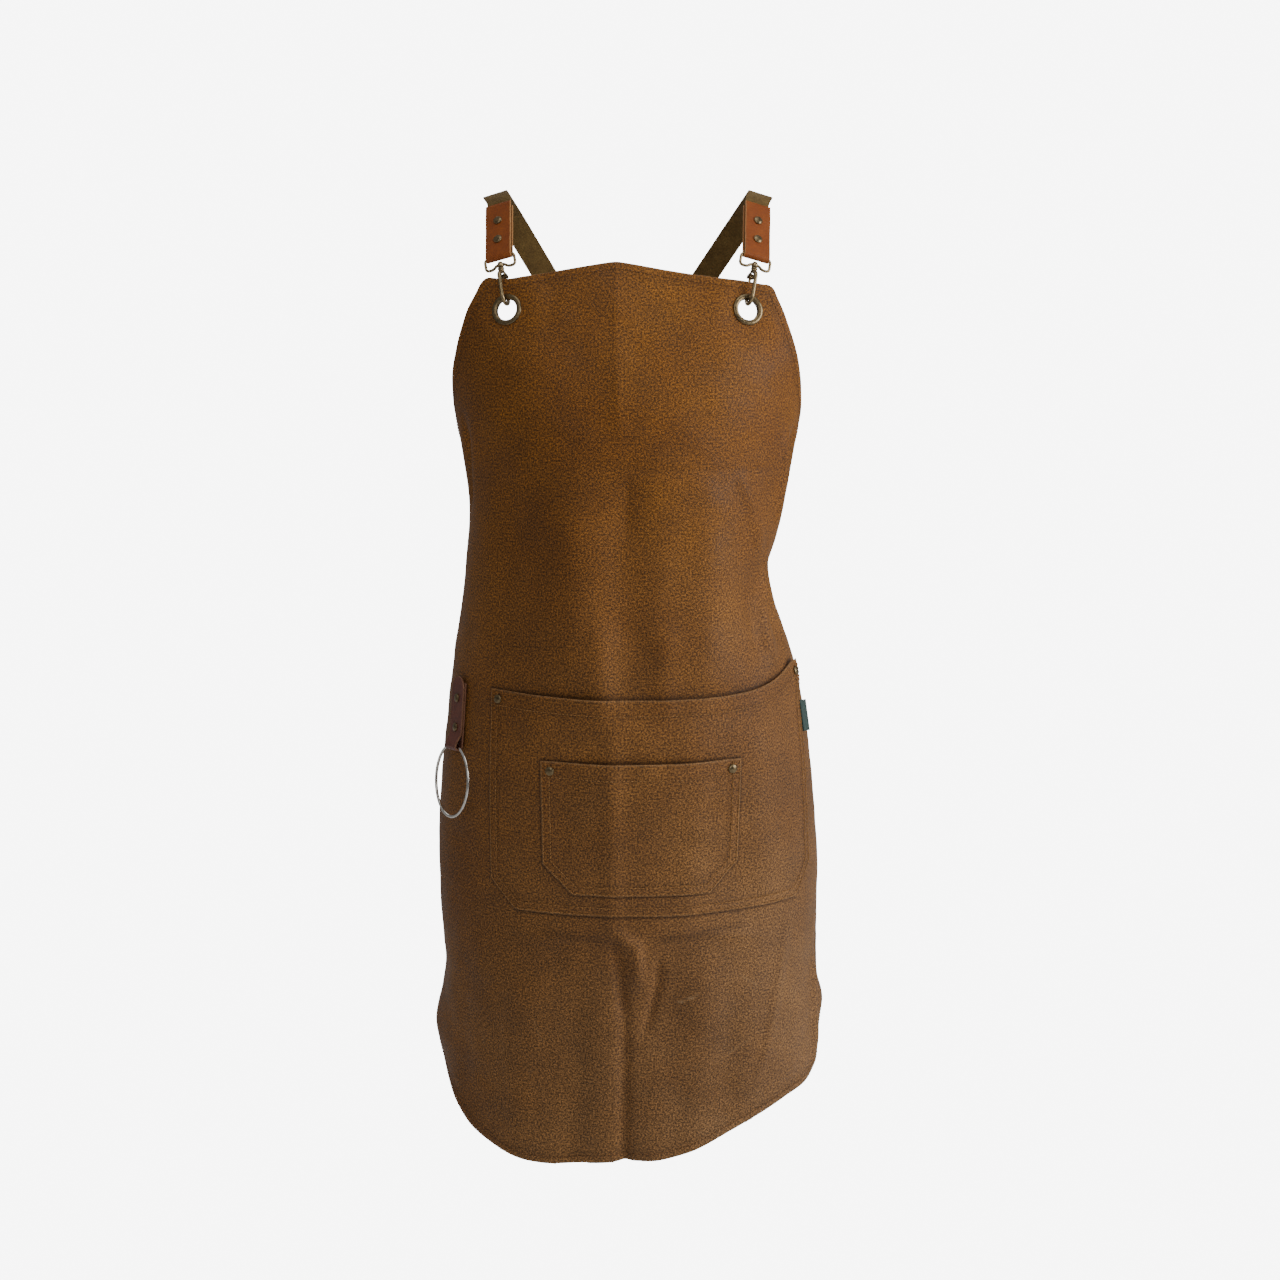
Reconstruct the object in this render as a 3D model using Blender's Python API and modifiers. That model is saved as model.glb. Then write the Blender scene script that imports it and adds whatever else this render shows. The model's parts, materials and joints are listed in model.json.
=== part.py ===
"""A butcher apron of waxed canvas as it hangs on its wearer, with cross-back straps.

Metres, +Z up, and the apron faces -Y. The origin is midway between the two places where
the straps rest on the shoulders. Left and right are as seen from the front.
"""

import math

import bmesh
import bpy
import numpy as np
from mathutils import Matrix, Vector

# The shape that the cloth hangs on, by height: half width to the left and to the right,
# and depth in front of and behind the wearer's middle.
FORM = (
    # z, left, right, front, behind
    (0.020, 0.190, 0.190, 0.048, 0.030),
    (-0.050, 0.196, 0.196, 0.0745, 0.080),
    (-0.110, 0.190, 0.190, 0.0985, 0.104),
    (-0.190, 0.170, 0.169, 0.124, 0.112),
    (-0.300, 0.154, 0.150, 0.131, 0.104),
    (-0.355, 0.159, 0.140, 0.133, 0.101),
    (-0.450, 0.172, 0.163, 0.137, 0.108),
    (-0.530, 0.1825, 0.179, 0.140, 0.114),
    (-0.620, 0.1885, 0.187, 0.142, 0.118),
    (-0.760, 0.187, 0.190, 0.144, 0.120),
    (-0.920, 0.190, 0.191, 0.146, 0.120),
)

# Apron panel, measured on the flat cloth from its top centre
PANEL_TOP_Z = -0.065
PANEL_DROP = 0.838
BIB_HALF = 0.138
BIB_CORNER = 0.008
SIDE_HALF = 0.340
ARMHOLE_DROP = 0.290
ARMHOLE_CURVE = 1.35
HEM_HALF = 0.125
HEM_CORNER_RISE = 0.260
CLOTH = 0.0016
GAP = 0.0005
POCKET_GAP = 0.0011

# Pockets: left edge, right edge (arc lengths from the middle), top and bottom heights
LARGE_POCKET = {"left": -0.137, "right": 0.205, "top": -0.457, "bottom": -0.664, "cut": 0.027}
SMALL_POCKET = {"left": -0.079, "right": 0.105, "top": -0.518, "bottom": -0.644, "cut": 0.028}
LARGE_GAPE = 0.0095
SMALL_GAPE = 0.0085
POCKET_CLOTH = 0.0014
RISING_CORNER = 0.016

# Grommets, rivets and the places they go
HOLE_RADIUS = 0.0098
RIM_RADIUS = 0.0146
BIB_GROMMET = (0.112, -0.108)
WAIST_GROMMET = (0.322, -0.367)
FLAT_RADIUS = 0.032
BLEND_RADIUS = 0.058
RIVET_CAP = 0.0042
RIVET_POST = 0.0013
RIVET_HOLE = 0.0018
RIVET_INSET = 0.009
RIVET_FIT = 0.0003

# Snap hook, in its own frame: x across, y into the cloth, z up from the grommet's centre
HOOK_BEND = 0.0072
HOOK_WIRE = 0.0018
HOOK_LOW = 0.0060
NOSE_TOP = 0.0168
KNOB = (0.0362, 0.0412)
KNOB_RADIUS = 0.0031
EYE = (0.0415, 0.0447)
LOOP_WIRE = 0.0012
LOOP_HALF = 0.0146
LOOP_BOTTOM = 0.0405
BAR_Z = 0.0515
GATE_PIVOT = (0.0072, 0.0336)
GATE_WIRE = 0.0012
HOOK_LEAN = {"front_left": 8.0, "front_right": -8.5, "back_left": 13.0, "back_right": -11.0}

# Straps
STRAP_WIDTH = 0.0240
STRAP_THICKNESS = 0.0020
LEATHER_WIDTH = 0.0254
LEATHER_THICKNESS = 0.0018
LEATHER_LENGTH = 0.0600
LEATHER_INNER = 0.0016
LEATHER_RIVETS = (0.0180, 0.0400)
SHOULDER_X = 0.125
SHOULDER_REST = 0.007
BACK_SHARES = (0.06, 0.15, 0.24, 0.32, 0.40, 0.48, 0.56, 0.64, 0.715)
ADJUSTER_SHARES = (0.765, 0.840)
BACK_LIFT = 0.003
CROSSING_LIFT = 0.0042

# Adjuster: a three-bar slide; the strap runs under its outer bars and over its middle one
SLIDE_HALF = (0.0146, 0.0100)
SLIDE_WIRE = 0.0012
SLIDE_OUTER = 0.0026
SLIDE_MIDDLE = 0.0050

# Towel ring and its leather tab
TAB_AT = (-0.186, -0.489)
TAB_HALF = 0.0120
TAB_NECK = 0.0110
TAB_TOP = 0.0360
TAB_FOLD = -0.0303
TAB_RIVETS = (0.0155, -0.0125)
TAB_INNER = 0.0027
RING_RADIUS = 0.0346
RING_WIRE = 0.00145

COLOURS = {
    "canvas": ((0.165, 0.082, 0.030), 0.80, 0.0),
    "strap_leather": ((0.34, 0.095, 0.018), 0.42, 0.0),
    "tab_leather": ((0.115, 0.034, 0.018), 0.45, 0.0),
    "webbing": ((0.155, 0.095, 0.040), 0.85, 0.0),
    "antique_brass": ((0.23, 0.17, 0.09), 0.38, 1.0),
    "polished_steel": ((0.78, 0.74, 0.68), 0.15, 1.0),
    "label": ((0.02, 0.06, 0.05), 0.7, 0.0),
}
SIDES = {"left": -1, "right": 1}


# ---------------------------------------------------------------- the form

def form_at(z):
    """The form's left, right, front and behind at the heights z, on smooth curves."""
    table = np.array(FORM[::-1])
    heights = table[:, 0]
    z = np.clip(np.asarray(z, float), heights[0], heights[-1])
    i = np.clip(np.searchsorted(heights, z) - 1, 0, len(heights) - 2)
    step = heights[i + 1] - heights[i]
    t = (z - heights[i]) / step
    found = []
    for column in table[:, 1:].T:
        slope = np.gradient(column, heights)
        found.append(
            column[i] * (1 + 2 * t) * (1 - t) ** 2
            + column[i + 1] * t * t * (3 - 2 * t)
            + step * slope[i] * t * (1 - t) ** 2
            + step * slope[i + 1] * t * t * (t - 1)
        )
    return found


def arc_length(angle, along, across):
    """Length of an ellipse's arc from where it runs along its first radius."""
    nodes, weights = np.polynomial.legendre.leggauss(8)
    half = np.asarray(angle, float)[..., None] / 2
    turn = half * (nodes + 1)
    along, across = (np.asarray(r, float)[..., None] for r in (along, across))
    speed = np.sqrt((along * np.cos(turn)) ** 2 + (across * np.sin(turn)) ** 2)
    return (speed * weights * half).sum(-1)


def arc_angle(length, along, across):
    """The angle at which the arc of an ellipse has that length."""
    angle = np.asarray(length, float) / np.maximum(along, 1e-6)
    for _ in range(6):
        speed = np.sqrt((along * np.cos(angle)) ** 2 + (across * np.sin(angle)) ** 2)
        angle = np.clip(angle - (arc_length(angle, along, across) - length) / speed, 0, 1.6)
    return angle


def form_points(s, z):
    """Points on the form at the arc lengths s from the front middle, at the heights z."""
    left, right, front, behind = form_at(z)
    wide = np.where(np.asarray(s) < 0, left, right)
    length = np.abs(s)
    quarter = arc_length(np.full_like(wide, math.pi / 2), wide, front)
    ahead = arc_angle(np.minimum(length, quarter), wide, front)
    back = arc_angle(np.maximum(length - quarter, 0), behind, wide)
    on_back = length > quarter
    x = wide * np.where(on_back, np.cos(back), np.sin(ahead))
    y = np.where(on_back, behind * np.sin(back), -front * np.cos(ahead))
    return np.stack([np.sign(s) * x, y, z], -1)


def on_form(s, z, lift=0.0):
    """The point at arc s and height z, that far outside the form."""
    return frame_on_form(s, z, lift).translation


def frame_on_form(s, z, lift=0.0):
    """A matrix at that point: x to the right along the cloth, y inwards, z up the cloth."""
    step = 0.002
    s_near = np.array([s, s + step, s - step, s, s])
    z_near = np.array([z, z, z, z + step, z - step], float)
    return frame_of([Vector(p) for p in form_points(s_near, z_near)], lift)


def frame_of(points, lift=0.0):
    """The matrix at the first point, from its neighbours to the right, left, above and below."""
    here, right, left, above, below = points
    outwards = (right - left).cross(above - below).normalized()
    up = (above - below).normalized()
    across = up.cross(outwards)
    return matrix_of(here + outwards * lift, across, -outwards, up)


def frame_on_pocket(s, z, lift_at):
    """The same on a pocket's middle surface, whose height off the form changes."""
    step = 0.006
    spots = ((0, 0), (step, 0), (-step, 0), (0, step), (0, -step))
    return frame_of([on_form(s + a, z + b, lift_at(s + a, z + b)) for a, b in spots])


def matrix_of(origin, x, y, z):
    """The matrix with these axes at that origin."""
    turned_axes = Matrix((x, y, z)).transposed().to_4x4()
    return Matrix.Translation(origin) @ turned_axes


def smooth(t):
    """0 before 0, 1 after 1, and an even rise between."""
    t = min(max(t, 0.0), 1.0)
    return t * t * (3 - 2 * t)


# ---------------------------------------------------------------- modelling tools

def start_clean():
    """Removes what the scene holds, and makes the two collections."""
    for obj in list(bpy.data.objects):
        bpy.data.objects.remove(obj)
    for name in ("butcher_apron", "cutters"):
        bpy.context.scene.collection.children.link(bpy.data.collections.new(name))


def material(name):
    """The material of that name, made when it is first asked for."""
    found = bpy.data.materials.get(name)
    if found:
        return found
    found = bpy.data.materials.new(name)
    found.use_nodes = True
    shader = found.node_tree.nodes["Principled BSDF"]
    colour, roughness, metallic = COLOURS[name]
    shader.inputs["Base Color"].default_value = (*colour, 1)
    shader.inputs["Roughness"].default_value = roughness
    shader.inputs["Metallic"].default_value = metallic
    return found


def add(name, data, matrix=None, finish=None, cutter=False):
    """An object of that mesh or curve, in the apron's collection or the cutters'."""
    obj = bpy.data.objects.new(name, data)
    bpy.data.collections["cutters" if cutter else "butcher_apron"].objects.link(obj)
    if matrix is not None:
        obj.matrix_world = matrix
    if finish:
        data.materials.append(material(finish))
    if cutter:
        obj.hide_render = True
        obj.display_type = "WIRE"
    bpy.context.view_layer.update()
    return obj


def mesh_from(bm, name):
    """The bmesh as a smooth-shaded mesh."""
    mesh = bpy.data.meshes.new(name)
    bm.to_mesh(mesh)
    bm.free()
    mesh.shade_smooth()
    mesh.set_sharp_from_angle(angle=math.radians(40))
    return mesh


def sheet(name, columns, rows, place, thickness, finish):
    """A sheet with a grid of points, each at place(column, row), given its thickness."""
    bm = bmesh.new()
    bmesh.ops.create_grid(bm, x_segments=len(columns) - 1, y_segments=len(rows) - 1)
    for i, vert in enumerate(bm.verts):
        row, column = divmod(i, len(columns))
        vert.co = place(columns[column], rows[row])
    obj = add(name, mesh_from(bm, name), finish=finish)
    solid = obj.modifiers.new("thickness", "SOLIDIFY")
    solid.thickness = thickness
    solid.offset = 0
    solid.use_even_offset = True
    return obj


def turned(name, profile, matrix, finish, steps=14, closed=False, cutter=False):
    """A solid of revolution about the matrix's z, from its profile of (radius, z)."""
    mesh = bpy.data.meshes.new(name)
    edges = [(i, i + 1) for i in range(len(profile) - 1)]
    if closed:
        edges.append((len(profile) - 1, 0))
    mesh.from_pydata([(r, 0, z) for r, z in profile], edges, [])
    obj = add(name, mesh, matrix, finish, cutter)
    screw = obj.modifiers.new("turn", "SCREW")
    screw.steps = steps
    screw.render_steps = steps
    screw.use_merge_vertices = True
    screw.merge_threshold = 1e-5
    screw.use_smooth_shade = True
    return obj


def wire(name, points, radius, matrix, finish, closed=False, sides=8):
    """A round wire through the points, made a mesh with its ends closed."""
    curve = bpy.data.curves.new(name, "CURVE")
    curve.dimensions = "3D"
    spline = curve.splines.new("POLY")
    spline.points.add(len(points) - 1)
    for point, co in zip(spline.points, points):
        point.co = (*co, 1)
    spline.use_cyclic_u = closed
    curve.bevel_depth = radius
    curve.bevel_resolution = sides // 2 - 2
    curve.use_fill_caps = not closed
    guide = add(name + "_line", curve)
    evaluated = guide.evaluated_get(bpy.context.evaluated_depsgraph_get())
    mesh = bpy.data.meshes.new_from_object(evaluated)
    bpy.data.objects.remove(guide)
    bm = bmesh.new()
    bm.from_mesh(mesh)
    bmesh.ops.remove_doubles(bm, verts=bm.verts, dist=1e-6)
    bpy.data.meshes.remove(mesh)
    return add(name, mesh_from(bm, name), matrix, finish)


def cylinder(name, radius, low, high, matrix, segments=12, cutter=True, finish=None):
    """A cylinder along the matrix's z, from low to high."""
    bm = bmesh.new()
    middle = Matrix.Translation((0, 0, (low + high) / 2))
    bmesh.ops.create_cone(
        bm, cap_ends=True, segments=segments, radius1=radius, radius2=radius,
        depth=high - low, matrix=middle,
    )
    return add(name, mesh_from(bm, name), matrix, finish, cutter)


def block(name, low, high, matrix, cutter=True, finish=None):
    """A box between two corners of the matrix's frame."""
    bm = bmesh.new()
    size = [b - a for a, b in zip(low, high)]
    middle = [(a + b) / 2 for a, b in zip(low, high)]
    place = Matrix.Translation(middle) @ Matrix.Diagonal((*size, 1))
    bmesh.ops.create_cube(bm, size=1, matrix=place)
    return add(name, mesh_from(bm, name), matrix, finish, cutter)


def boolean(obj, other, operation):
    """Cuts the other object from obj, or joins it to obj."""
    if operation == "UNION":
        for collection in list(other.users_collection):
            collection.objects.unlink(other)
        bpy.data.collections["cutters"].objects.link(other)
        other.hide_render = True
        other.display_type = "WIRE"
    modifier = obj.modifiers.new(other.name, "BOOLEAN")
    modifier.operation = operation
    modifier.object = other
    return obj


def pivot_at(obj, point):
    """Moves the object's origin to that point of its own frame, and nothing else."""
    shift = Matrix.Translation(point)
    obj.data.transform(shift.inverted())
    obj.matrix_world = obj.matrix_world @ shift
    bpy.context.view_layer.update()


def arc(centre, radius, start, end, steps, axes=(1, 2)):
    """Points on an arc in two of the three axes, with angles in degrees."""
    points = []
    for i in range(steps + 1):
        angle = math.radians(start + (end - start) * i / steps)
        point = list(centre)
        point[axes[0]] += radius * math.cos(angle)
        point[axes[1]] += radius * math.sin(angle)
        points.append(tuple(point))
    return points


# ---------------------------------------------------------------- canvas

def panel_half(t):
    """Half the panel's width at the distance t below its top edge."""
    if t < ARMHOLE_DROP:
        half = BIB_HALF + (SIDE_HALF - BIB_HALF) * (t / ARMHOLE_DROP) ** ARMHOLE_CURVE
        return half - max(0.0, BIB_CORNER - t)
    rise = PANEL_DROP - t
    if rise > HEM_CORNER_RISE:
        return SIDE_HALF
    share = 1 - (1 - rise / HEM_CORNER_RISE) ** 2
    return HEM_HALF + (SIDE_HALF - HEM_HALF) * math.sqrt(max(share, 0))


def cloth_height(s, t):
    """Height of the cloth t below its top edge: the bib's corners droop, and the hem
    is drawn up a little on the right."""
    corner = 0.0195 if s < 0 else 0.0225
    droop = corner * (s / BIB_HALF) ** 2 * max(0.0, 1 - t / 0.22) ** 2
    drawn_up = 0.027 * smooth((s - 0.03) / 0.15) * smooth((t - 0.62) / 0.18)
    return PANEL_TOP_Z - t - droop + drawn_up


def apron_panel():
    """The one piece of canvas that is the bib and the skirt."""
    columns = np.linspace(-1, 1, 41)
    bib = [0, BIB_CORNER, *np.linspace(0.03, ARMHOLE_DROP, 10)]
    skirt = list(np.linspace(0.32, PANEL_DROP - HEM_CORNER_RISE, 8))
    turns = np.radians(np.linspace(6, 90, 10))
    corner = [PANEL_DROP - HEM_CORNER_RISE * (1 - math.sin(a)) for a in turns]
    rows = (bib + skirt + corner)[::-1]

    def place(u, t):
        s = u * panel_half(t)
        return flattened(on_form(s, cloth_height(s, t)))

    return sheet("apron_panel", columns, rows, place, CLOTH, "canvas")


def flattened(point):
    """The point drawn onto the nearest grommet's plane, so that the rims lie flat."""
    for s, z in (BIB_GROMMET, WAIST_GROMMET):
        for sign in SIDES.values():
            plane = frame_on_form(sign * s, z)
            local = plane.inverted() @ point
            reach = local.length
            if reach < BLEND_RADIUS:
                local.y *= smooth((reach - FLAT_RADIUS) / (BLEND_RADIUS - FLAT_RADIUS))
                point = plane @ local
    return point


def gape(size, s, z, seam):
    """How far open a pocket stands, from 0 at its seams to 1 at the middle of its mouth."""
    across = (s - size["left"]) / (size["right"] - size["left"])
    up = (z - size["bottom"]) / (size["top"] - size["bottom"])
    from_seam = min(across, 1 - across)
    return smooth((from_seam - seam) / 0.2) * smooth(up / 0.5)


def large_gape(s, z):
    """How far the large pocket stands off the panel."""
    return LARGE_GAPE * gape(LARGE_POCKET, s, z, 0.06)


def pocket(name, size, lift_at):
    """A pocket with two cut corners, sewn on along its sides and its bottom."""
    columns = np.linspace(0, 1, 21 if name == "large_pocket" else 13)
    rows = list(np.linspace(0, size["cut"], 4))
    rows += list(np.linspace(size["cut"], size["top"] - size["bottom"], 7))[1:]

    def place(u, up):
        cut = max(0.0, size["cut"] - up)
        left, right = size["left"] + cut, size["right"] - cut
        s = left + (right - left) * u
        rise = rise_at(size, s, up) if size is LARGE_POCKET else 0
        z = size["bottom"] + up + rise
        return on_form(s, z, lift_at(s, z))

    return sheet(name, columns, rows, place, POCKET_CLOTH, "canvas")


LARGE_LIFT = CLOTH / 2 + POCKET_GAP + POCKET_CLOTH / 2
SMALL_LIFT = LARGE_LIFT + POCKET_CLOTH + POCKET_GAP


def small_gape(s, z):
    """How far the small pocket stands off the large one."""
    return SMALL_GAPE * gape(SMALL_POCKET, s, z, 0.09)


def large_lift(s, z):
    """Height of the large pocket's middle surface off the form."""
    return LARGE_LIFT + large_gape(s, z)


def small_lift(s, z):
    """Height of the small pocket's middle surface off the form."""
    return SMALL_LIFT + large_gape(s, z) + small_gape(s, z)


def rise_at(size, s, up):
    """How much the large pocket's right upper corner is drawn up, at s and up from its bottom."""
    across = (s - size["left"]) / (size["right"] - size["left"])
    return RISING_CORNER * smooth((across - 0.80) / 0.16) * up / (size["top"] - size["bottom"])


def pockets():
    """The large pocket, and the small one sewn on it."""
    large = pocket("large_pocket", LARGE_POCKET, large_lift)
    small = pocket("small_pocket", SMALL_POCKET, small_lift)
    return large, small


def side_label():
    """A plain woven tab, caught in the large pocket's side seam."""
    at = frame_on_form(LARGE_POCKET["right"] + 0.0012, -0.495, LARGE_LIFT + 0.0004)
    columns, rows = (0, 0.0090), (-0.0155, 0.0155)
    return sheet(
        "side_label", columns, rows, lambda x, z: at @ Vector((x, -0.42 * x, z)), 0.0008, "label",
    )


# ---------------------------------------------------------------- fasteners

def to_outside(matrix):
    """The same place with z pointing out of the cloth, for a turned piece."""
    return matrix @ Matrix.Rotation(math.radians(90), 4, "X")


def rivet(name, matrix, under, over, pierced):
    """A cap rivet through the pierced pieces, which lie from under to over along its axis."""
    at = to_outside(matrix)
    cap_low, foot_top = over + RIVET_FIT, under - RIVET_FIT
    profile = [
        (0, cap_low + 0.0019), (RIVET_CAP * 0.55, cap_low + 0.0016),
        (RIVET_CAP * 0.9, cap_low + 0.0009), (RIVET_CAP, cap_low),
        (RIVET_POST, cap_low), (RIVET_POST, foot_top),
        (RIVET_CAP * 0.8, foot_top), (RIVET_CAP * 0.8, foot_top - 0.0008),
        (0, foot_top - 0.0010),
    ]
    turned(name, profile, at, "antique_brass", steps=12)
    low, high = under - 0.003, over + 0.003
    for piece in pierced:
        cut = cylinder(f"{name}_hole_{piece.name}", RIVET_HOLE, low, high, at, 10)
        boolean(piece, cut, "DIFFERENCE")


def pocket_rivets(panel, large, small):
    """One rivet at each upper corner of both pockets."""
    under = -CLOTH / 2 - 2 * GAP
    for side, sign in SIDES.items():
        s = LARGE_POCKET[side] - sign * RIVET_INSET
        up = LARGE_POCKET["top"] - LARGE_POCKET["bottom"] - RIVET_INSET
        z = LARGE_POCKET["bottom"] + up + rise_at(LARGE_POCKET, s, up)
        over = LARGE_LIFT + POCKET_CLOTH / 2 + GAP / 2
        rivet(f"large_pocket_rivet_{side}", frame_on_form(s, z), under, over, [panel, large])
        s = SMALL_POCKET[side] - sign * RIVET_INSET
        z = SMALL_POCKET["top"] - RIVET_INSET
        at = frame_on_pocket(s, z, large_lift)
        over = SMALL_LIFT - LARGE_LIFT + POCKET_CLOTH / 2 + GAP
        rivet(f"small_pocket_rivet_{side}", at, -POCKET_CLOTH / 2 - GAP, over, [large, small])


def grommet(name, matrix, panel):
    """A rolled eyelet from the front and a washer behind it, in a hole of the panel."""
    at = to_outside(matrix)
    front, back, wall = CLOTH / 2 + 0.0004, -CLOTH / 2 - 0.0004, 0.0007
    outer = HOLE_RADIUS + wall
    eyelet = [
        (HOLE_RADIUS, front + 0.0006), (HOLE_RADIUS + 0.0012, front + 0.0015),
        (RIM_RADIUS - 0.0012, front + 0.0013), (RIM_RADIUS, front + 0.0004),
        (RIM_RADIUS, front), (outer, front), (outer, back - 0.0012), (HOLE_RADIUS, back - 0.0012),
    ]
    turned(f"{name}_eyelet", eyelet, at, "antique_brass", steps=20, closed=True)
    inner = outer + 0.0003
    washer = [(inner, back), (RIM_RADIUS, back), (RIM_RADIUS, back - 0.0009), (inner, back - 0.0009)]
    turned(f"{name}_washer", washer, at, "antique_brass", steps=20, closed=True)
    hole = cylinder(f"{name}_hole", outer + 0.0004, -0.004, 0.004, at, 20)
    boolean(panel, hole, "DIFFERENCE")


# ---------------------------------------------------------------- snap hooks

def hook_loop(name, frame):
    """The wire frame that the strap holds, with the swivel's eye in its lower bar."""
    corner, low, high = 0.0030, LOOP_BOTTOM, BAR_Z
    side = LOOP_HALF
    right = arc((side - corner, 0, high - corner), corner, 90, 0, 4, (0, 2))
    right += arc((side - corner, 0, low + corner), corner, 0, -90, 4, (0, 2))
    right += [(0.0090, 0, low), (0.0055, 0, low + 0.0016), (0.0030, 0, low + 0.0030)]
    path = right + [(0, 0, low + 0.0032)] + [(-x, y, z) for x, y, z in right[::-1]]
    loop = wire(name, path, LOOP_WIRE, frame, "antique_brass", closed=True, sides=6)
    boss = cylinder(name + "_boss", 0.0030, *EYE, frame, 10, finish="antique_brass")
    boolean(loop, boss, "UNION")
    bore = cylinder(name + "_bore", 0.0016, EYE[0] - 0.002, EYE[1] + 0.002, frame, 10)
    boolean(loop, bore, "DIFFERENCE")
    pivot_at(loop, (0, 0, BAR_Z))


def hook_body(name, frame):
    """The hook with its swivel post, and the fork that holds the gate."""
    y, z = GATE_PIVOT
    path = [(0, HOOK_BEND, NOSE_TOP)]
    path += arc((0, 0, HOOK_LOW + HOOK_BEND), HOOK_BEND, 0, -180, 10)
    path += [(0, -HOOK_BEND, 0.0220), (0, -HOOK_BEND, 0.0315)]
    path += [(0, -0.0060, 0.0335), (0, -0.0034, 0.0352), (0, 0, 0.0366), (0, 0, 0.0385)]
    hook = wire(name, path, HOOK_WIRE, frame, "antique_brass")
    low, high = KNOB
    head = EYE[1] + 0.0003
    swivel = [
        (0, head + 0.0016), (0.0018, head + 0.0014), (0.0024, head + 0.0006), (0.0024, head),
        (0.0012, head), (0.0012, high), (KNOB_RADIUS * 0.8, high), (KNOB_RADIUS, high - 0.0010),
        (KNOB_RADIUS, low + 0.0010), (KNOB_RADIUS * 0.8, low), (0, low),
    ]
    post = turned(name + "_post", swivel, frame, "antique_brass", steps=12)
    boolean(hook, post, "UNION")
    fork = block(name + "_fork", (-0.0029, -0.0006, z - 0.0016), (0.0029, y + 0.0019, low + 0.0004), frame)
    boolean(hook, fork, "UNION")
    slot = block(name + "_slot", (-0.0015, 0.0028, z - 0.004), (0.0015, y + 0.004, z + 0.0024), frame)
    boolean(hook, slot, "DIFFERENCE")
    pin = frame @ Matrix.Translation((0, y, z)) @ Matrix.Rotation(math.radians(90), 4, "Y")
    bore = cylinder(name + "_pin_bore", 0.0010, -0.006, 0.006, pin, 8)
    boolean(hook, bore, "DIFFERENCE")
    pivot_at(hook, (0, 0, KNOB[1]))


def hook_gate(name, frame):
    """The sprung gate that closes the hook's mouth, with its pin and leaf spring."""
    y, z = GATE_PIVOT
    path = [(0, y, z - 0.0010), (0, y, NOSE_TOP + 0.0004)]
    gate = wire(name, path, GATE_WIRE, frame, "antique_brass", sides=8)
    pin = frame @ Matrix.Translation((0, y, z)) @ Matrix.Rotation(math.radians(90), 4, "Y")
    eye = cylinder(name + "_eye", 0.0016, -0.0012, 0.0012, pin, 10, finish="antique_brass")
    boolean(gate, eye, "UNION")
    bore = cylinder(name + "_bore", 0.0009, -0.004, 0.004, pin, 8)
    boolean(gate, bore, "DIFFERENCE")
    pivot_at(gate, (0, y, z))
    cylinder(name + "_pin", 0.0006, -0.0030, 0.0030, pin, 8, cutter=False, finish="antique_brass")
    block(
        name + "_spring", (-0.0011, 0.0031, z - 0.0014), (0.0011, 0.0035, z + 0.0020), frame,
        cutter=False, finish="antique_brass",
    )


def snap_hook(place, frame):
    """One swivel snap hook: loop, hook, gate, pin and spring."""
    hook_loop(f"{place}_hook_loop", frame)
    hook_body(f"{place}_hook", frame)
    hook_gate(f"{place}_gate", frame)


# ---------------------------------------------------------------- straps

def turned_about_x(frame, towards):
    """The frame turned about its own x so that its z points as near to there as it can."""
    across = (frame.to_3x3() @ Vector((1, 0, 0))).normalized()
    up = towards - frame.translation
    up = (up - across * up.dot(across)).normalized()
    return matrix_of(frame.translation, across, up.cross(across), up)


def bar_frame(frame):
    """The hook's frame moved up to the bar that the strap goes round."""
    return frame @ Matrix.Translation((0, 0, BAR_Z))


def leather_end(name, end, webbing):
    """A leather strip folded round the loop's bar, riveted through the webbing inside it."""
    middle = LEATHER_INNER + LEATHER_THICKNESS / 2
    line = [(0, -middle, LEATHER_LENGTH), (0, -middle, 0.02)]
    line += arc((0, 0, 0), middle, 180, 360, 8)
    line += [(0, middle, 0.02), (0, middle, LEATHER_LENGTH - 0.002)]
    half = LEATHER_WIDTH / 2

    def place(x, i):
        return end @ Vector((x * half, line[i][1], line[i][2]))

    leather = sheet(name, (-1, 1), range(len(line)), place, LEATHER_THICKNESS, "strap_leather")
    outside = LEATHER_INNER + LEATHER_THICKNESS
    for i, height in enumerate(LEATHER_RIVETS, 1):
        at = end @ Matrix.Translation((0, 0, height))
        rivet(f"{name}_rivet_{i}", at, -outside, outside, [leather, webbing])


def curve_through(stations, steps):
    """A Catmull-Rom curve through the second to the last but one of the stations."""
    found = []
    for a, b, c, d in zip(stations, stations[1:], stations[2:], stations[3:]):
        for i in range(steps):
            t = i / steps
            found.append(
                0.5 * (2 * b + (c - a) * t + (2 * a - 5 * b + 4 * c - d) * t * t
                       + (3 * b - a - 3 * c + d) * t ** 3)
            )
    return found + [stations[-2]]


def back_point(sign, share, low):
    """Where the strap lies on the back, a share of the way from its shoulder to the far hip."""
    x = sign * SHOULDER_X * (1 - share) + low.x * share
    z = low.z * share
    wide, behind = (float(form_at(z)[i]) for i in (0, 3))
    rests = behind * math.sqrt(1 - (x / wide) ** 2) + BACK_LIFT
    if sign < 0:
        rests += CROSSING_LIFT * smooth((0.078 - abs(x)) / 0.030)
    leaves = smooth((share - 0.72) / 0.28)
    return Vector((x, rests + (low.y - rests) * leaves, z))


def back_across(sign, share, low):
    """The direction across the strap where it lies flat on the back."""
    here, there = (back_point(sign, share + ahead, low) for ahead in (0, 0.02))
    wide, behind = (float(form_at(here.z)[i]) for i in (0, 3))
    normal = Vector((here.x / wide ** 2, here.y / behind ** 2, 0))
    return (there - here).cross(normal).normalized()


def station(point, across):
    """A point of a strap's middle line and the direction across it, as one row."""
    return np.array([*point, *across])


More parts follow.
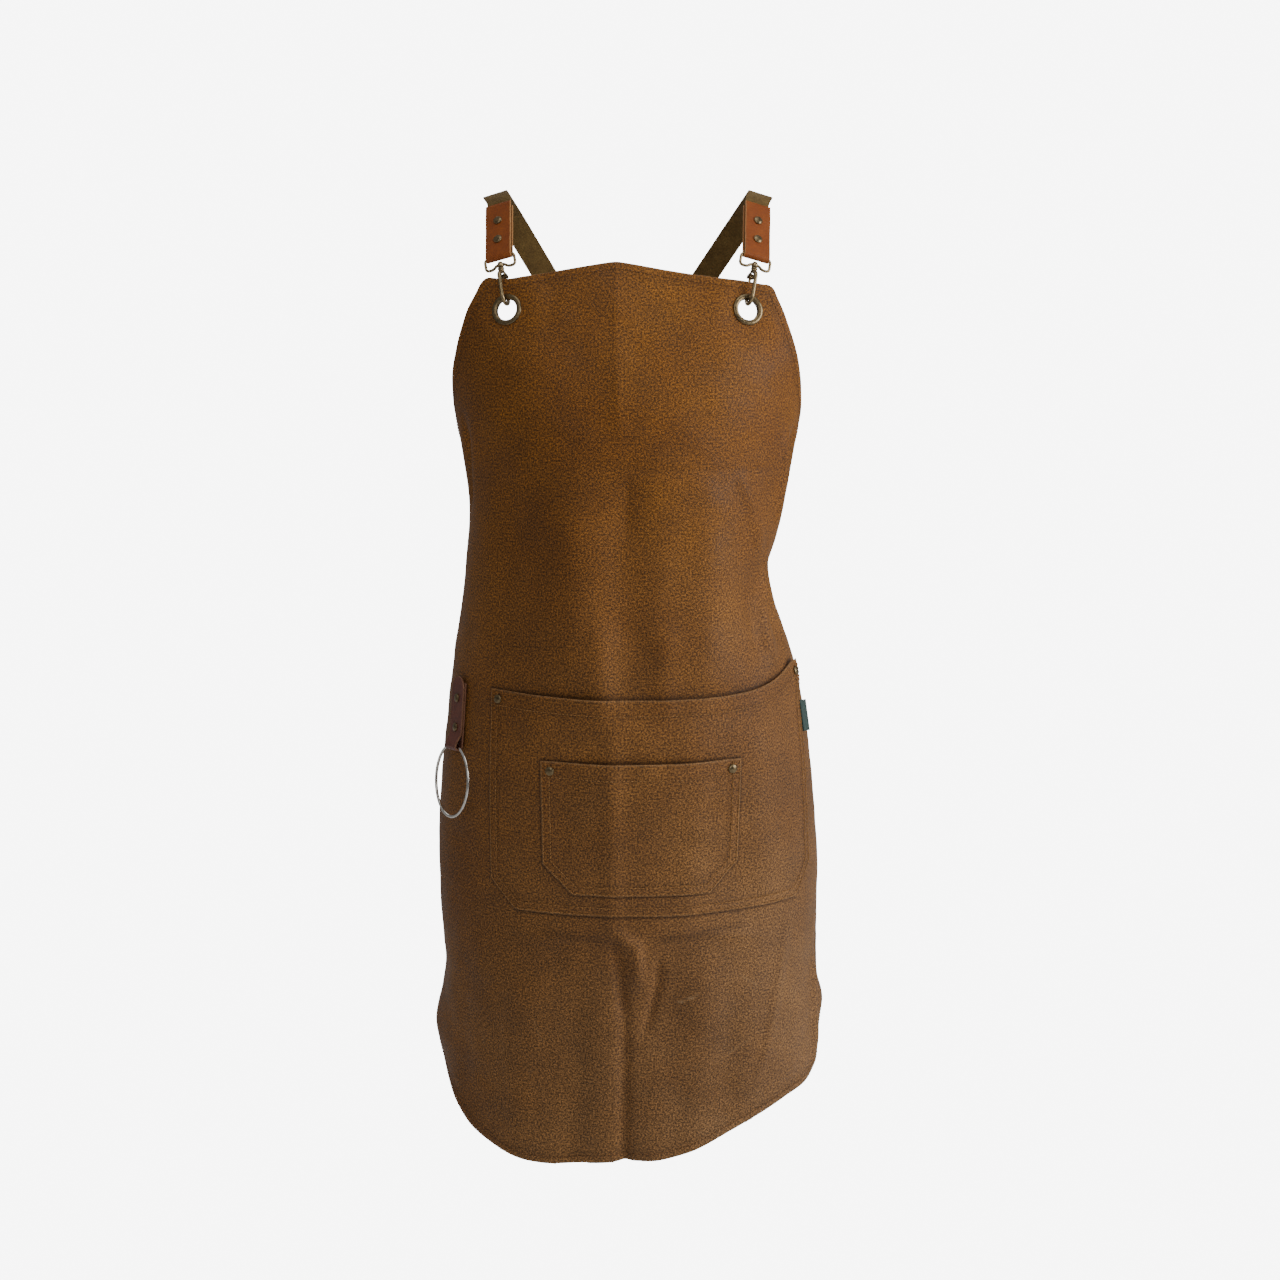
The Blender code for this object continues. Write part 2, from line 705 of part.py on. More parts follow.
def strap_line(sign, front, low_bar):
    """The strap's stations: to the adjuster, across it, and on to the loop at the hip."""
    inside = [station(front @ Vector((0, 0, h)), front.col[0][:3]) for h in (0.006, 0.030, 0.062)]
    tilt = math.radians(17)
    over = Vector((math.cos(tilt), 0, -sign * math.sin(tilt)))
    top = Vector((sign * SHOULDER_X, 0, 0)) + over.cross(Vector((0, 1, 0))) * STRAP_THICKNESS / 2
    rest = Vector((0, SHOULDER_REST, 0))
    before, after = station(top - rest, over), station(top + rest, over)
    low = low_bar.translation
    hip = -Vector(low_bar.col[0][:3])
    down = []
    for share in BACK_SHARES + ADJUSTER_SHARES:
        flat = over.lerp(back_across(sign, share, low), smooth(share / 0.15))
        across = flat.lerp(hip, smooth((share - 0.66) / 0.16))
        down.append(station(back_point(sign, share, low), across))
    spread = LEATHER_INNER + STRAP_THICKNESS / 2
    last = station(low_bar @ Vector((0, -spread, 0.010)), hip)
    level = (down[-1][3:] + down[-2][3:]) / 2
    down[-1][3:] = level
    down[-2][3:] = level
    upper = inside[:2] + curve_through(inside[1:] + [before, after], 3)
    upper += curve_through([before, after] + down, 2)
    after_last = station(low_bar @ Vector((0, -spread, 0)), hip)
    lower = curve_through(down[-2:] + [last, after_last], 3)
    return upper, lower


def shifted(row, along, outwards):
    """The station moved out of the strap's face by that much."""
    point, across = Vector(row[:3]), Vector(row[3:]).normalized()
    return station(point + across.cross(along).normalized() * outwards, across)


def strap(name, sign, front, low_bar):
    """Webbing over one shoulder, down across the back, through the loop at the far hip and
    back up to the middle bar of its adjuster. Gives also the adjuster's frame."""
    upper, lower = strap_line(sign, front, low_bar)
    first, second = Vector(upper[-1][:3]), Vector(lower[0][:3])
    along = (second - first).normalized()
    across = (Vector(upper[-1][3:]) + Vector(lower[0][3:])).normalized()
    across = (across - along * across.dot(along)).normalized()
    outwards = across.cross(along)
    slide = matrix_of((first + second) / 2, -across, -outwards, -along)
    spread = LEATHER_INNER + STRAP_THICKNESS / 2
    bend = [low_bar @ Vector(p) for p in arc((0, 0, 0), spread, 180, 360, 8)]
    hip = Vector(lower[-1][3:])
    line = upper + lower + [station(p, hip) for p in bend]
    down_at_hip = Vector(lower[-1][:3]) - Vector(lower[-2][:3])
    back_up = [shifted(row, down_at_hip, -2 * spread) for row in lower[::-1]]
    radius = SLIDE_WIRE + 0.0004 + STRAP_THICKNESS / 2
    middle = SLIDE_MIDDLE
    hug = [(0, middle + radius, -0.008)] + arc((0, middle, 0), radius, 0, 180, 8)
    hug += [(0, middle - radius, -0.007)]
    line += back_up[:-1] + [station(slide @ Vector(p), across) for p in hug]
    half = STRAP_WIDTH / 2

    def place(x, i):
        point, sideways = Vector(line[i][:3]), Vector(line[i][3:]).normalized()
        return point + sideways * x * half

    webbing = sheet(name, (-1, 1), range(len(line)), place, STRAP_THICKNESS, "webbing")
    return webbing, slide


def adjuster(name, frame):
    """A three-bar slide round the strap, whose middle bar holds the strap's end."""
    wide, tall = SLIDE_HALF
    corner, y = 0.003, -SLIDE_OUTER
    frame_line = arc((wide - corner, y, tall - corner), corner, 90, 0, 3, (0, 2))
    frame_line += arc((wide - corner, y, corner - tall), corner, 0, -90, 3, (0, 2))
    frame_line += arc((corner - wide, y, corner - tall), corner, -90, -180, 3, (0, 2))
    frame_line += arc((corner - wide, y, tall - corner), corner, 180, 90, 3, (0, 2))
    slide = wire(name, frame_line, SLIDE_WIRE, frame, "antique_brass", closed=True)
    y = SLIDE_MIDDLE
    bar_line = [(-wide, -SLIDE_OUTER, 0), (-wide, y - 0.001, 0), (0.001 - wide, y, 0)]
    bar_line += [(-p[0], p[1], p[2]) for p in bar_line[::-1]]
    bar = wire(name + "_bar", bar_line, SLIDE_WIRE, frame, "antique_brass")
    boolean(slide, bar, "UNION")


# ---------------------------------------------------------------- towel ring

def towel_tab(panel):
    """A leather strip with a round top, folded round the towel ring and riveted on."""
    thick, back = LEATHER_THICKNESS, LEATHER_THICKNESS / 2
    at = frame_on_form(*TAB_AT, CLOTH / 2 + GAP)
    radius = TAB_INNER + thick / 2
    middle = back + radius
    front = back + thick + GAP
    line = [(back, TAB_TOP - 0.006, TAB_HALF * 0.85), (back, TAB_FOLD + 0.012, TAB_HALF)]
    fold = arc((0, middle, TAB_FOLD), radius, 180, 360, 8)
    line += [(y, z, TAB_NECK) for _, y, z in fold]
    line += [(front, TAB_FOLD + 0.0125, TAB_HALF), (front, TAB_TOP - TAB_HALF, TAB_HALF)]
    for angle in (25, 50, 70, 84):
        across, up = math.cos(math.radians(angle)), math.sin(math.radians(angle))
        line.append((front, TAB_TOP - TAB_HALF * (1 - up), TAB_HALF * across))

    def place(x, i):
        y, z, half = line[i]
        return at @ Vector((x * half, -y, z))

    tab = sheet("towel_tab", (-1, 1), range(len(line)), place, thick, "tab_leather")
    under, over = -CLOTH - 2.2 * GAP, front + thick / 2
    for i, z in enumerate(TAB_RIVETS, 1):
        spot = at @ Matrix.Translation((0, 0, z))
        rivet(f"towel_tab_rivet_{i}", spot, under, over, [panel, tab])
    axis = at @ Matrix.Translation((0, -middle, TAB_FOLD))
    return axis


def towel_ring(axis):
    """The ring in the tab's fold, with its origin on the axis that it swings about."""
    sagitta = RING_RADIUS - math.sqrt(RING_RADIUS ** 2 - TAB_NECK ** 2)
    centre = (0, 0, sagitta / 2 - RING_RADIUS)
    points = arc(centre, RING_RADIUS, 0, 360, 48, (0, 2))[:-1]
    wire("towel_ring", points, RING_WIRE, axis, "polished_steel", closed=True)


# ---------------------------------------------------------------- the apron

def main():
    start_clean()
    panel = apron_panel()
    large, small = pockets()
    side_label()
    pocket_rivets(panel, large, small)
    frames = {}
    for side, sign in SIDES.items():
        for row, (s, z) in (("front", BIB_GROMMET), ("back", WAIST_GROMMET)):
            place = f"{row}_{side}"
            lean = Matrix.Rotation(math.radians(-HOOK_LEAN[place]), 4, "Y")
            frames[place] = frame_on_form(sign * s, z) @ lean
            grommet(f"{place}_grommet", frames[place], panel)
            snap_hook(place, frames[place])
    for side, sign in SIDES.items():
        front = bar_frame(frames[f"front_{side}"])
        shoulder = Vector((sign * SHOULDER_X, -0.018, 0))
        front = turned_about_x(front, shoulder)
        hip = bar_frame(frames["back_right" if sign < 0 else "back_left"])
        hip = turned_about_x(hip, back_point(sign, ADJUSTER_SHARES[1], hip.translation))
        webbing, slide = strap(f"strap_{side}", sign, front, hip)
        leather_end(f"strap_{side}_leather", front, webbing)
        adjuster(f"strap_{side}_adjuster", slide)
    towel_ring(towel_tab(panel))


main()
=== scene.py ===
"""A waxed canvas butcher apron as worn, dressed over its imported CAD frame.

Metres, +Z up, and the apron faces -Y. Cloth is laid out by its arc length s from the front
middle, left negative, and by its height z; a lift is a distance out of the cloth. Everything
below is drawn from those, so a pocket or a stitch follows each fold of the cloth under it.
"""

import json
import math

import bpy
import numpy as np
from mathutils import Matrix, Vector
from mathutils.kdtree import KDTree

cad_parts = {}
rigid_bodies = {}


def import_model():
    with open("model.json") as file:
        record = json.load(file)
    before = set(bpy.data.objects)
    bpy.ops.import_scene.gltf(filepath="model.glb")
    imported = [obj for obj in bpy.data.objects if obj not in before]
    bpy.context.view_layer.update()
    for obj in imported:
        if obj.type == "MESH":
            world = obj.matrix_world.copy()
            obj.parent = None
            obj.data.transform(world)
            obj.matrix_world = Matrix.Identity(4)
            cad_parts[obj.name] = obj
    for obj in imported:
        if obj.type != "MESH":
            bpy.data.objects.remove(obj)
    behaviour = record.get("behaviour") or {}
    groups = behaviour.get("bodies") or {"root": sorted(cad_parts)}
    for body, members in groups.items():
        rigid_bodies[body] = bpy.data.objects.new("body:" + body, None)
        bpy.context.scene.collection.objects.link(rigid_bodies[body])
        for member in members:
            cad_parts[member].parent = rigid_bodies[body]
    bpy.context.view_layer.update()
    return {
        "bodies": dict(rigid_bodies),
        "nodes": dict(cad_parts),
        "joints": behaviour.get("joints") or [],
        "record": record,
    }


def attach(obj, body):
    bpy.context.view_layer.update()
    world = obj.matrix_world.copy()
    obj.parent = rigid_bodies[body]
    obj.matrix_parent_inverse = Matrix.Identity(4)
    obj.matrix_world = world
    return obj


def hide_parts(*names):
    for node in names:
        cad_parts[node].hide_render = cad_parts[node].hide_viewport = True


# The shape that the cloth hangs on, by height: half width to the left and to the right,
# and depth in front of and behind the wearer's middle. The part's solids use the same.
FORM = (
    # z, left, right, front, behind
    (0.02, 0.19, 0.19, 0.048, 0.03),
    (-0.05, 0.196, 0.196, 0.0745, 0.08),
    (-0.11, 0.19, 0.19, 0.0985, 0.104),
    (-0.19, 0.17, 0.169, 0.124, 0.112),
    (-0.3, 0.154, 0.15, 0.131, 0.104),
    (-0.355, 0.159, 0.14, 0.133, 0.101),
    (-0.45, 0.172, 0.163, 0.137, 0.108),
    (-0.53, 0.1825, 0.179, 0.14, 0.114),
    (-0.62, 0.1885, 0.187, 0.142, 0.118),
    (-0.76, 0.187, 0.19, 0.144, 0.12),
    (-0.92, 0.19, 0.191, 0.146, 0.12),
)

# Apron panel, measured on the flat cloth from its top centre
PANEL_TOP_Z = -0.065
PANEL_DROP = 0.838
BIB_HALF = 0.138
BIB_CORNER = 0.008
SIDE_HALF = 0.34
ARMHOLE_DROP = 0.29
ARMHOLE_CURVE = 1.35
HEM_HALF = 0.125
HEM_CORNER_RISE = 0.26
CLOTH = 0.0012
HEM = 0.01
HEM_STITCH = 0.0068
PANEL_CELL = 0.0022
EDGE_ROUND = 0.0011
CREASE_ROUND = 0.0012
NEAR_EDGE = np.array([0, 0.0004, 0.001, 0.0018, 0.003, 0.0045, 0.006, 0.0075, 0.009, 0.0105])
EVEN_FROM = 0.0125


class Pocket:
    """A patch pocket on the flat cloth: its edges, how much is cut off each lower corner, how
    far its right upper corner is drawn up, and how far its mouth sags."""

    def __init__(self, left, right, top, bottom, cut, rise, sag):
        self.left, self.right, self.top, self.bottom = left, right, top, bottom
        self.cut, self.rise, self.sag = cut, rise, sag
        self.wide, self.tall = right - left, top - bottom


LARGE_POCKET = Pocket(left=-0.137, right=0.205, top=-0.457, bottom=-0.664, cut=0.027, rise=0.016, sag=0.003)
SMALL_POCKET = Pocket(left=-0.079, right=0.105, top=-0.518, bottom=-0.644, cut=0.028, rise=0, sag=0)

# How far each pocket lies off the form, how far it gapes, its hem, and its folded edge
LARGE_LIFT = 0.0015
SMALL_LIFT = 0.0034
LARGE_GAPE = 0.0062
SMALL_GAPE = 0.0048
POCKET_HEM = 0.015
POCKET_FOLD = 0.0105
POCKET_CELL = 0.0016

# Stitches: how far their rows lie inside a pocket's edge, and the size of each
SEAM_ROWS = (0.0018, 0.0084)
STITCH_PITCH = 0.0036
STITCH_LENGTH = 0.0029
STITCH_PRESS = 0.0011
THREAD_RADIUS = 0.00036

# Fasteners and the places they go
HOLE_RADIUS = 0.0098
RIM_RADIUS = 0.0146
BIB_GROMMET = (0.112, -0.108)
WAIST_GROMMET = (0.322, -0.367)
FLAT_RADIUS = 0.018
BLEND_RADIUS = 0.045
CUT_RADIUS = 0.0116
RIVET_CAP = 0.0042
RIVET_INSET = 0.009
SIDES = {"left": -1, "right": 1}

# Snap hook, in its own frame: x across, y into the cloth, z up from the grommet's centre
HOOK_BEND = 0.0072
HOOK_WIRE = 0.0018
HOOK_LOW = 0.006
NOSE_TOP = 0.0168
KNOB = (0.0362, 0.0412)
KNOB_RADIUS = 0.0031
EYE = (0.0415, 0.0447)
LOOP_WIRE = 0.0012
LOOP_HALF = 0.0146
LOOP_BOTTOM = 0.0405
BAR_Z = 0.0515
GATE_PIVOT = (0.0072, 0.0336)
HOOK_LEAN = {"front_left": 8.0, "front_right": -8.5, "back_left": 13.0, "back_right": -11.0}

# Straps
STRAP_WIDTH = 0.024
STRAP_THICKNESS = 0.0019
LEATHER_WIDTH = 0.0254
LEATHER_THICKNESS = 0.0018
LEATHER_LENGTH = 0.06
LEATHER_INNER = 0.0016
LEATHER_RIVETS = (0.018, 0.04)
SHOULDER_X = 0.125
SHOULDER_REST = 0.007
SHOULDER_SLOPE = 17
STRAP_SPREAD = LEATHER_INNER + STRAP_THICKNESS / 2
BACK_SHARES = (0.06, 0.15, 0.24, 0.32, 0.4, 0.48, 0.56, 0.64, 0.715)
ADJUSTER_SHARES = (0.765, 0.84)
BACK_LIFT = 0.003
CROSSING_LIFT = 0.0042
SLIDE_HALF = (0.0146, 0.01)
SLIDE_WIRE = 0.0012
SLIDE_OUTER = 0.0026
SLIDE_MIDDLE = 0.005

# Towel ring, its leather tab, and the label
TAB_AT = (-0.186, -0.489)
TAB_HALF = 0.012
TAB_NECK = 0.011
TAB_TOP = 0.036
TAB_FOLD = -0.0303
TAB_RIVETS = (0.0155, -0.0125)
TAB_INNER = 0.0027
RING_RADIUS = 0.0346
RING_WIRE = 0.00145
LABEL_REACH = 0.0062

# Soft folds of the panel: the line they follow, their width and their height
FOLDS = (
    # folds that drop from the bust to the pocket
    (((0.0, -0.215), (-0.002, -0.33), (0.002, -0.4), (0.004, -0.5)), 0.023, -0.0058),
    (((-0.06, -0.24), (-0.05, -0.35), (-0.036, -0.5)), 0.026, 0.0044),
    (((0.08, -0.24), (0.084, -0.36), (0.074, -0.48)), 0.025, 0.0054),
    (((-0.024, -0.375), (-0.022, -0.5)), 0.011, 0.0024),
    (((-0.014, -0.455), (-0.0135, -0.58), (-0.014, -0.72)), 0.01, 0.003),
    (((-0.09, -0.44), (-0.085, -0.56), (-0.09, -0.66)), 0.019, 0.003),
    (((0.056, -0.43), (0.06, -0.56), (0.056, -0.7)), 0.017, 0.0026),
    (((0.127, -0.43), (0.13, -0.56), (0.135, -0.68)), 0.018, 0.0034),
    (((0.036, -0.38), (0.034, -0.5)), 0.011, 0.0018),
    (((-0.12, -0.24), (-0.115, -0.35), (-0.12, -0.48)), 0.02, -0.003),
    (((0.104, -0.245), (0.13, -0.295), (0.15, -0.345)), 0.0095, 0.0032),
    # the right side drawn in at the waist
    (((0.168, -0.33), (0.151, -0.378), (0.153, -0.407), (0.164, -0.45)), 0.008, 0.005),
    (((0.186, -0.32), (0.178, -0.38), (0.186, -0.44)), 0.011, -0.005),
    (((0.118, -0.35), (0.133, -0.4), (0.142, -0.45)), 0.01, -0.0022),
    # where the sides turn back at the armholes
    (((0.174, -0.205), (0.177, -0.32)), 0.007, 0.0044),
    (((0.196, -0.205), (0.198, -0.32)), 0.009, -0.0056),
    (((-0.178, -0.195), (-0.199, -0.305)), 0.008, -0.0046),
    # the buckle under the pocket
    (((-0.025, -0.675), (0.007, -0.693), (0.0115, -0.74)), 0.0062, 0.0046),
    (((-0.015, -0.674), (-0.008, -0.705), (-0.003, -0.77)), 0.006, -0.0042),
    (((0.029, -0.695), (0.029, -0.728), (0.023, -0.756), (0.012, -0.786)), 0.0046, -0.0036),
    # the deep fold from there to the hem
    (((-0.006, -0.7), (-0.003, -0.77), (-0.003, -1.06)), 0.006, -0.0046),
    (((-0.028, -0.69), (-0.025, -0.8), (-0.024, -1.06)), 0.02, 0.003),
    (((0.026, -0.74), (0.025, -1.06)), 0.019, 0.0032),
    # loose folds of the skirt
    (((0.174, -0.665), (0.158, -0.74), (0.146, -0.79), (0.122, -0.856)), 0.007, 0.0024),
    (((-0.095, -0.68), (-0.105, -0.8), (-0.112, -0.96)), 0.023, 0.0042),
    (((-0.048, -0.7), (-0.052, -0.96)), 0.015, -0.0028),
    (((0.07, -0.68), (0.066, -0.8), (0.06, -0.96)), 0.02, 0.0034),
    (((0.105, -0.7), (0.095, -0.9)), 0.013, -0.002),
    (((-0.16, -0.69), (-0.178, -0.78), (-0.182, -0.9)), 0.016, -0.0018),
    (((0.224, -0.72), (0.228, -0.86)), 0.008, 0.0048),
    (((0.243, -0.7), (0.245, -0.86)), 0.009, -0.005),
)
# Creases of the panel: the same three things for each
CREASES = (
    # the storage crease down the middle, and the one across the chest
    (((-0.01, -0.04), (-0.01, -0.126), (-0.006, -0.25)), 0.015, 0.0024),
    (((-0.06, -0.249), (0.04, -0.252), (0.2, -0.255)), 0.005, -0.001),
    # a short one among the folds that drop from the bust
    (((0.001, -0.25), (-0.002, -0.32)), 0.0045, -0.0011),
    # the right side's crease at the waist
    (((0.175, -0.344), (0.23, -0.348), (0.33, -0.352)), 0.017, -0.0062),
    # on both sides of the buckle under the pocket
    (((-0.115, -0.69), (-0.055, -0.686), (-0.006, -0.679)), 0.005, 0.0013),
    (((0.012, -0.679), (0.075, -0.685), (0.15, -0.697)), 0.005, 0.0013),
)
# Swells of the cloth: their middle, their half width and half height, and their height
BULGES = (
    ((-0.262, -0.815), (0.034, 0.028), 0.0078),
    ((-0.25, -0.75), (0.04, 0.025), -0.0016),
    ((-0.235, -0.87), (0.03, 0.022), -0.003),
    ((0.287, -0.796), (0.032, 0.021), 0.0085),
    ((0.25, -0.835), (0.03, 0.03), 0.003),
    ((-0.1, -0.15), (0.04, 0.05), 0.0024),
    ((0.095, -0.16), (0.04, 0.045), 0.002),
)
# Painted shade: dark lines painted along creases where shade falls: the line, its width and how dark
PAINTED_CREASE_SHADE = (
    (((-0.086, -0.6825), (-0.05, -0.685), (-0.014, -0.6877)), 0.004, 0.34),
    (((0.0187, -0.6877), (0.07, -0.683), (0.125, -0.678)), 0.004, 0.34),
    (((-0.035, -0.25), (0.02, -0.2515), (0.07, -0.253)), 0.0022, 0.12),
    (((0.1, -0.253), (0.14, -0.254), (0.175, -0.255)), 0.0022, 0.22),
)
# Pale marks on the wax: the line, and how pale
SCUFFS = (
    (((0.048, -0.7485), (0.057, -0.7455), (0.065, -0.7425)), 0.5),
    (((0.111, -0.73), (0.129, -0.742)), 0.22),
    (((0.1, -0.805), (0.118, -0.796)), 0.22),
    (((-0.205, -0.595), (-0.198, -0.608)), 0.2),
    (((0.173, -0.67), (0.158, -0.74), (0.146, -0.79)), 0.1),
    (((-0.09, -0.77), (-0.083, -0.79)), 0.16),
)
# Studio: how bright the plain background looks, the floor, and the camera
BACKDROP = 7.6
FLOOR_HALF = 14
FLOOR_Z = -1.2
CAMERA_AT = (0.01154, -1.75, -0.14424)
CAMERA_DOWN = 9.169
CAMERA_LENS = 50.53
MIDDLE = (0, -0.1, -0.45)
LIGHTS = (
    # name, place, target, size, power
    ("window", (2.6, -0.95, 0.35), MIDDLE, 1.6, 50),
    ("front", (-0.3, -2.8, 1.2), MIDDLE, 1.6, 12),
    ("top", (0.3, -0.6, 1.6), (0, 0, -0.3), 1.2, 8),
    ("rim", (-0.4, 2.2, 1.2), MIDDLE, 1.6, 14),
)

MATERIALS = {}


# ---- the form

def smooth(t):
    """0 before 0, 1 after 1, and an even rise between."""
    t = np.clip(t, 0.0, 1.0)
    return t * t * (3 - 2 * t)


def bell(away, width):
    """A soft rise of 1 at no distance that dies away over that width."""
    return np.exp(-(away / width) ** 2)


def unit(vectors):
    """The vectors along the last axis, each brought to length 1."""
    return vectors / np.maximum(np.linalg.norm(vectors, axis=-1, keepdims=True), 1e-12)


def lengths_along(line):
    """How far along a line of straight runs each of its points lies."""
    return np.concatenate([[0], np.cumsum(np.linalg.norm(np.diff(line, axis=0), axis=1))])


def form_at(z):
    """The form's left, right, front and behind at the heights z, on smooth curves."""
    table = np.array(FORM[::-1])
    heights = table[:, 0]
    z = np.clip(np.asarray(z, float), heights[0], heights[-1])
    i = np.clip(np.searchsorted(heights, z) - 1, 0, len(heights) - 2)
    step = heights[i + 1] - heights[i]
    t = (z - heights[i]) / step
    found = []
    for column in table[:, 1:].T:
        slope = np.gradient(column, heights)
        found.append(
            column[i] * (1 + 2 * t) * (1 - t) ** 2
            + column[i + 1] * t * t * (3 - 2 * t)
            + step * slope[i] * t * (1 - t) ** 2
            + step * slope[i + 1] * t * t * (t - 1)
        )
    return found


def arc_length(angle, along, across):
    """Length of an ellipse's arc from where it runs along its first radius."""
    nodes, weights = np.polynomial.legendre.leggauss(8)
    half = np.asarray(angle, float)[..., None] / 2
    turn = half * (nodes + 1)
    along, across = (np.asarray(r, float)[..., None] for r in (along, across))
    speed = np.sqrt((along * np.cos(turn)) ** 2 + (across * np.sin(turn)) ** 2)
    return (speed * weights * half).sum(-1)


def arc_angle(length, along, across):
    """The angle at which the arc of an ellipse has that length."""
    angle = np.asarray(length, float) / np.maximum(along, 1e-6)
    for _ in range(5):
        speed = np.sqrt((along * np.cos(angle)) ** 2 + (across * np.sin(angle)) ** 2)
        angle = np.clip(angle - (arc_length(angle, along, across) - length) / speed, 0, 1.6)
    return angle


def form_points(s, z):
    """Points on the form at the arc lengths s from the front middle, at the heights z."""
    left, right, front, behind = form_at(z)
    wide = np.where(np.asarray(s) < 0, left, right)
    length = np.abs(s)
    quarter = arc_length(np.full_like(wide, math.pi / 2), wide, front)
    ahead = arc_angle(np.minimum(length, quarter), wide, front)
    back = arc_angle(np.maximum(length - quarter, 0), behind, wide)
    on_back = length > quarter
    x = wide * np.where(on_back, np.cos(back), np.sin(ahead))
    y = np.where(on_back, behind * np.sin(back), -front * np.cos(ahead))
    return np.stack([np.sign(s) * x, y, z], -1)


def matrix_of(origin, x, y, z):
    """The matrix with these axes at that origin."""
    turned_axes = Matrix((x, y, z)).transposed().to_4x4()
    return Matrix.Translation(origin) @ turned_axes


def frame_of(points, lift=0.0):
    """The matrix at the first point, from its neighbours to the right, left, above and below:
    x to the right along the cloth, y inwards, z up the cloth."""
    here, right, left, above, below = (Vector(p) for p in points)
    outwards = (right - left).cross(above - below).normalized()
    up = (above - below).normalized()
    return matrix_of(here + outwards * lift, up.cross(outwards), -outwards, up)


def cross_of_points(s, z, step):
    """A point of the cloth and its four neighbours, as s and z."""
    return np.array([s, s + step, s - step, s, s]), np.array([z, z, z, z + step, z - step])


def form_frame(s, z, lift=0.0):
    """The matrix at a point of the form."""
    return frame_of(form_points(*cross_of_points(s, z, 0.002)), lift)


def hook_frame(place):
    """The matrix of a snap hook, at the middle of its grommet."""
    row, side = place.split("_")
    s, z = BIB_GROMMET if row == "front" else WAIST_GROMMET
    lean = Matrix.Rotation(math.radians(-HOOK_LEAN[place]), 4, "Y")
    return form_frame(SIDES[side] * s, z) @ lean


# ---- the cloth's surface

def line_distance(s, z, line):
    """Distance from each point to a line of straight runs, and how far along it from 0 to 1."""
    line = np.array(line)
    ends = lengths_along(line)
    best = np.full(np.broadcast(s, z).shape, 1e9)
    share = np.zeros(best.shape)
    for a, b, start, end in zip(line, line[1:], ends, ends[1:]):
        along = (b - a) / (end - start)
        t = np.clip((s - a[0]) * along[0] + (z - a[1]) * along[1], 0, end - start)
        away = np.hypot(s - a[0] - along[0] * t, z - a[1] - along[1] * t)
        nearer = away < best
        best = np.where(nearer, away, best)
        share = np.where(nearer, (start + t) / ends[-1], share)
    return best, share


def sharp(away, width):
    """A pressed crease of 1 at no distance that dies away over that width."""
    return np.exp(-(np.hypot(away, CREASE_ROUND) - CREASE_ROUND) / width)


def ridges(s, z, lines, profile, fade):
    """The sum of ridges along those lines, each faded out towards both its ends."""
    total = np.zeros(np.broadcast(s, z).shape)
    for line, width, height in lines:
        away, share = line_distance(s, z, line)
        total += height * profile(away, width) * smooth(share / fade) * smooth((1 - share) / fade)
    return total


def waves(s, z, seed, count, lengths, height):
    """An even, irregular swell made of plane waves of those lengths."""
    rng = np.random.default_rng(seed)
    total = np.zeros_like(s)
    for _ in range(count):
        length = rng.uniform(*lengths)
        turn = rng.uniform(0, math.pi)
        phase = rng.uniform(0, 2 * math.pi)
        across = math.cos(turn) * s + math.sin(turn) * z
        total += np.sin(2 * math.pi * across / length + phase) * length / lengths[1]
    return total * height / math.sqrt(count)


def relief(s, z):
    """How far the panel's folds stand out of the form."""
    s, z = np.asarray(s, float), np.asarray(z, float)
    total = waves(s, z, 3, 16, (0.06, 0.17), 0.0012) + waves(s, z, 4, 24, (0.016, 0.045), 0.00024)
    total += ridges(s, z, FOLDS, bell, 0.3) + ridges(s, z, CREASES, sharp, 0.3)
    for middle, (wide, tall), height in BULGES:
        total += height * bell(s - middle[0], wide) * bell(z - middle[1], tall)
    return total


def wear(s, z):
    """How much the wax has paled where it was scuffed, from 0 to 1."""
    return np.clip(sum(pale * bell(line_distance(s, z, line)[0], 0.001) for line, pale in SCUFFS), 0, 1)


def grid_normals(points):
    """Outward normals of a grid whose rows run down and whose columns run to the right."""
    return unit(np.cross(np.gradient(points, axis=0), np.gradient(points, axis=1)))


def grommet_frames():
    """The planes of the four grommets."""
    spots = (BIB_GROMMET, WAIST_GROMMET)
    return [form_frame(sign * s, z) for s, z in spots for sign in SIDES.values()]


def flattened(points, normals):
    """The points drawn onto the nearest grommet's plane, so that the rims lie flat."""
    for plane in grommet_frames():
        origin = np.array(plane.translation)
        inwards = np.array(plane.col[1][:3])
        reach = np.linalg.norm(points - origin, axis=-1)
        keep = smooth((reach - FLAT_RADIUS) / (BLEND_RADIUS - FLAT_RADIUS))[..., None]
        depth = ((points - origin) @ inwards)[..., None]
        points = points - depth * inwards * (1 - keep)
        normals = unit(normals * keep - inwards * (1 - keep))
    return points, normals


def cloth_at(s, z, height_at):
    """Points of a cloth's middle surface and its normals there, at separate spots."""
    s, z = np.asarray(s, float), np.asarray(z, float)
    step = 0.0015
    across = form_points(s + step, z) - form_points(s - step, z)
    upwards = form_points(s, z + step) - form_points(s, z - step)
    normals = unit(np.cross(across, upwards))
    return flattened(form_points(s, z) + normals * height_at(s, z)[..., None], normals)


def cloth_frame(s, z, height_at):
    """The matrix at one point of a cloth, lying along its surface."""
    return frame_of(cloth_at(*cross_of_points(s, z, 0.004), height_at)[0])


def gape(size, s, z, seam):
    """How far open a pocket stands, from 0 at its seams to 1 at the middle of its mouth."""
    across = (s - size.left) / size.wide
    up = (z - size.bottom) / size.tall
    return smooth((np.minimum(across, 1 - across) - seam) / 0.3) * smooth((up - 0.15) / 0.75)


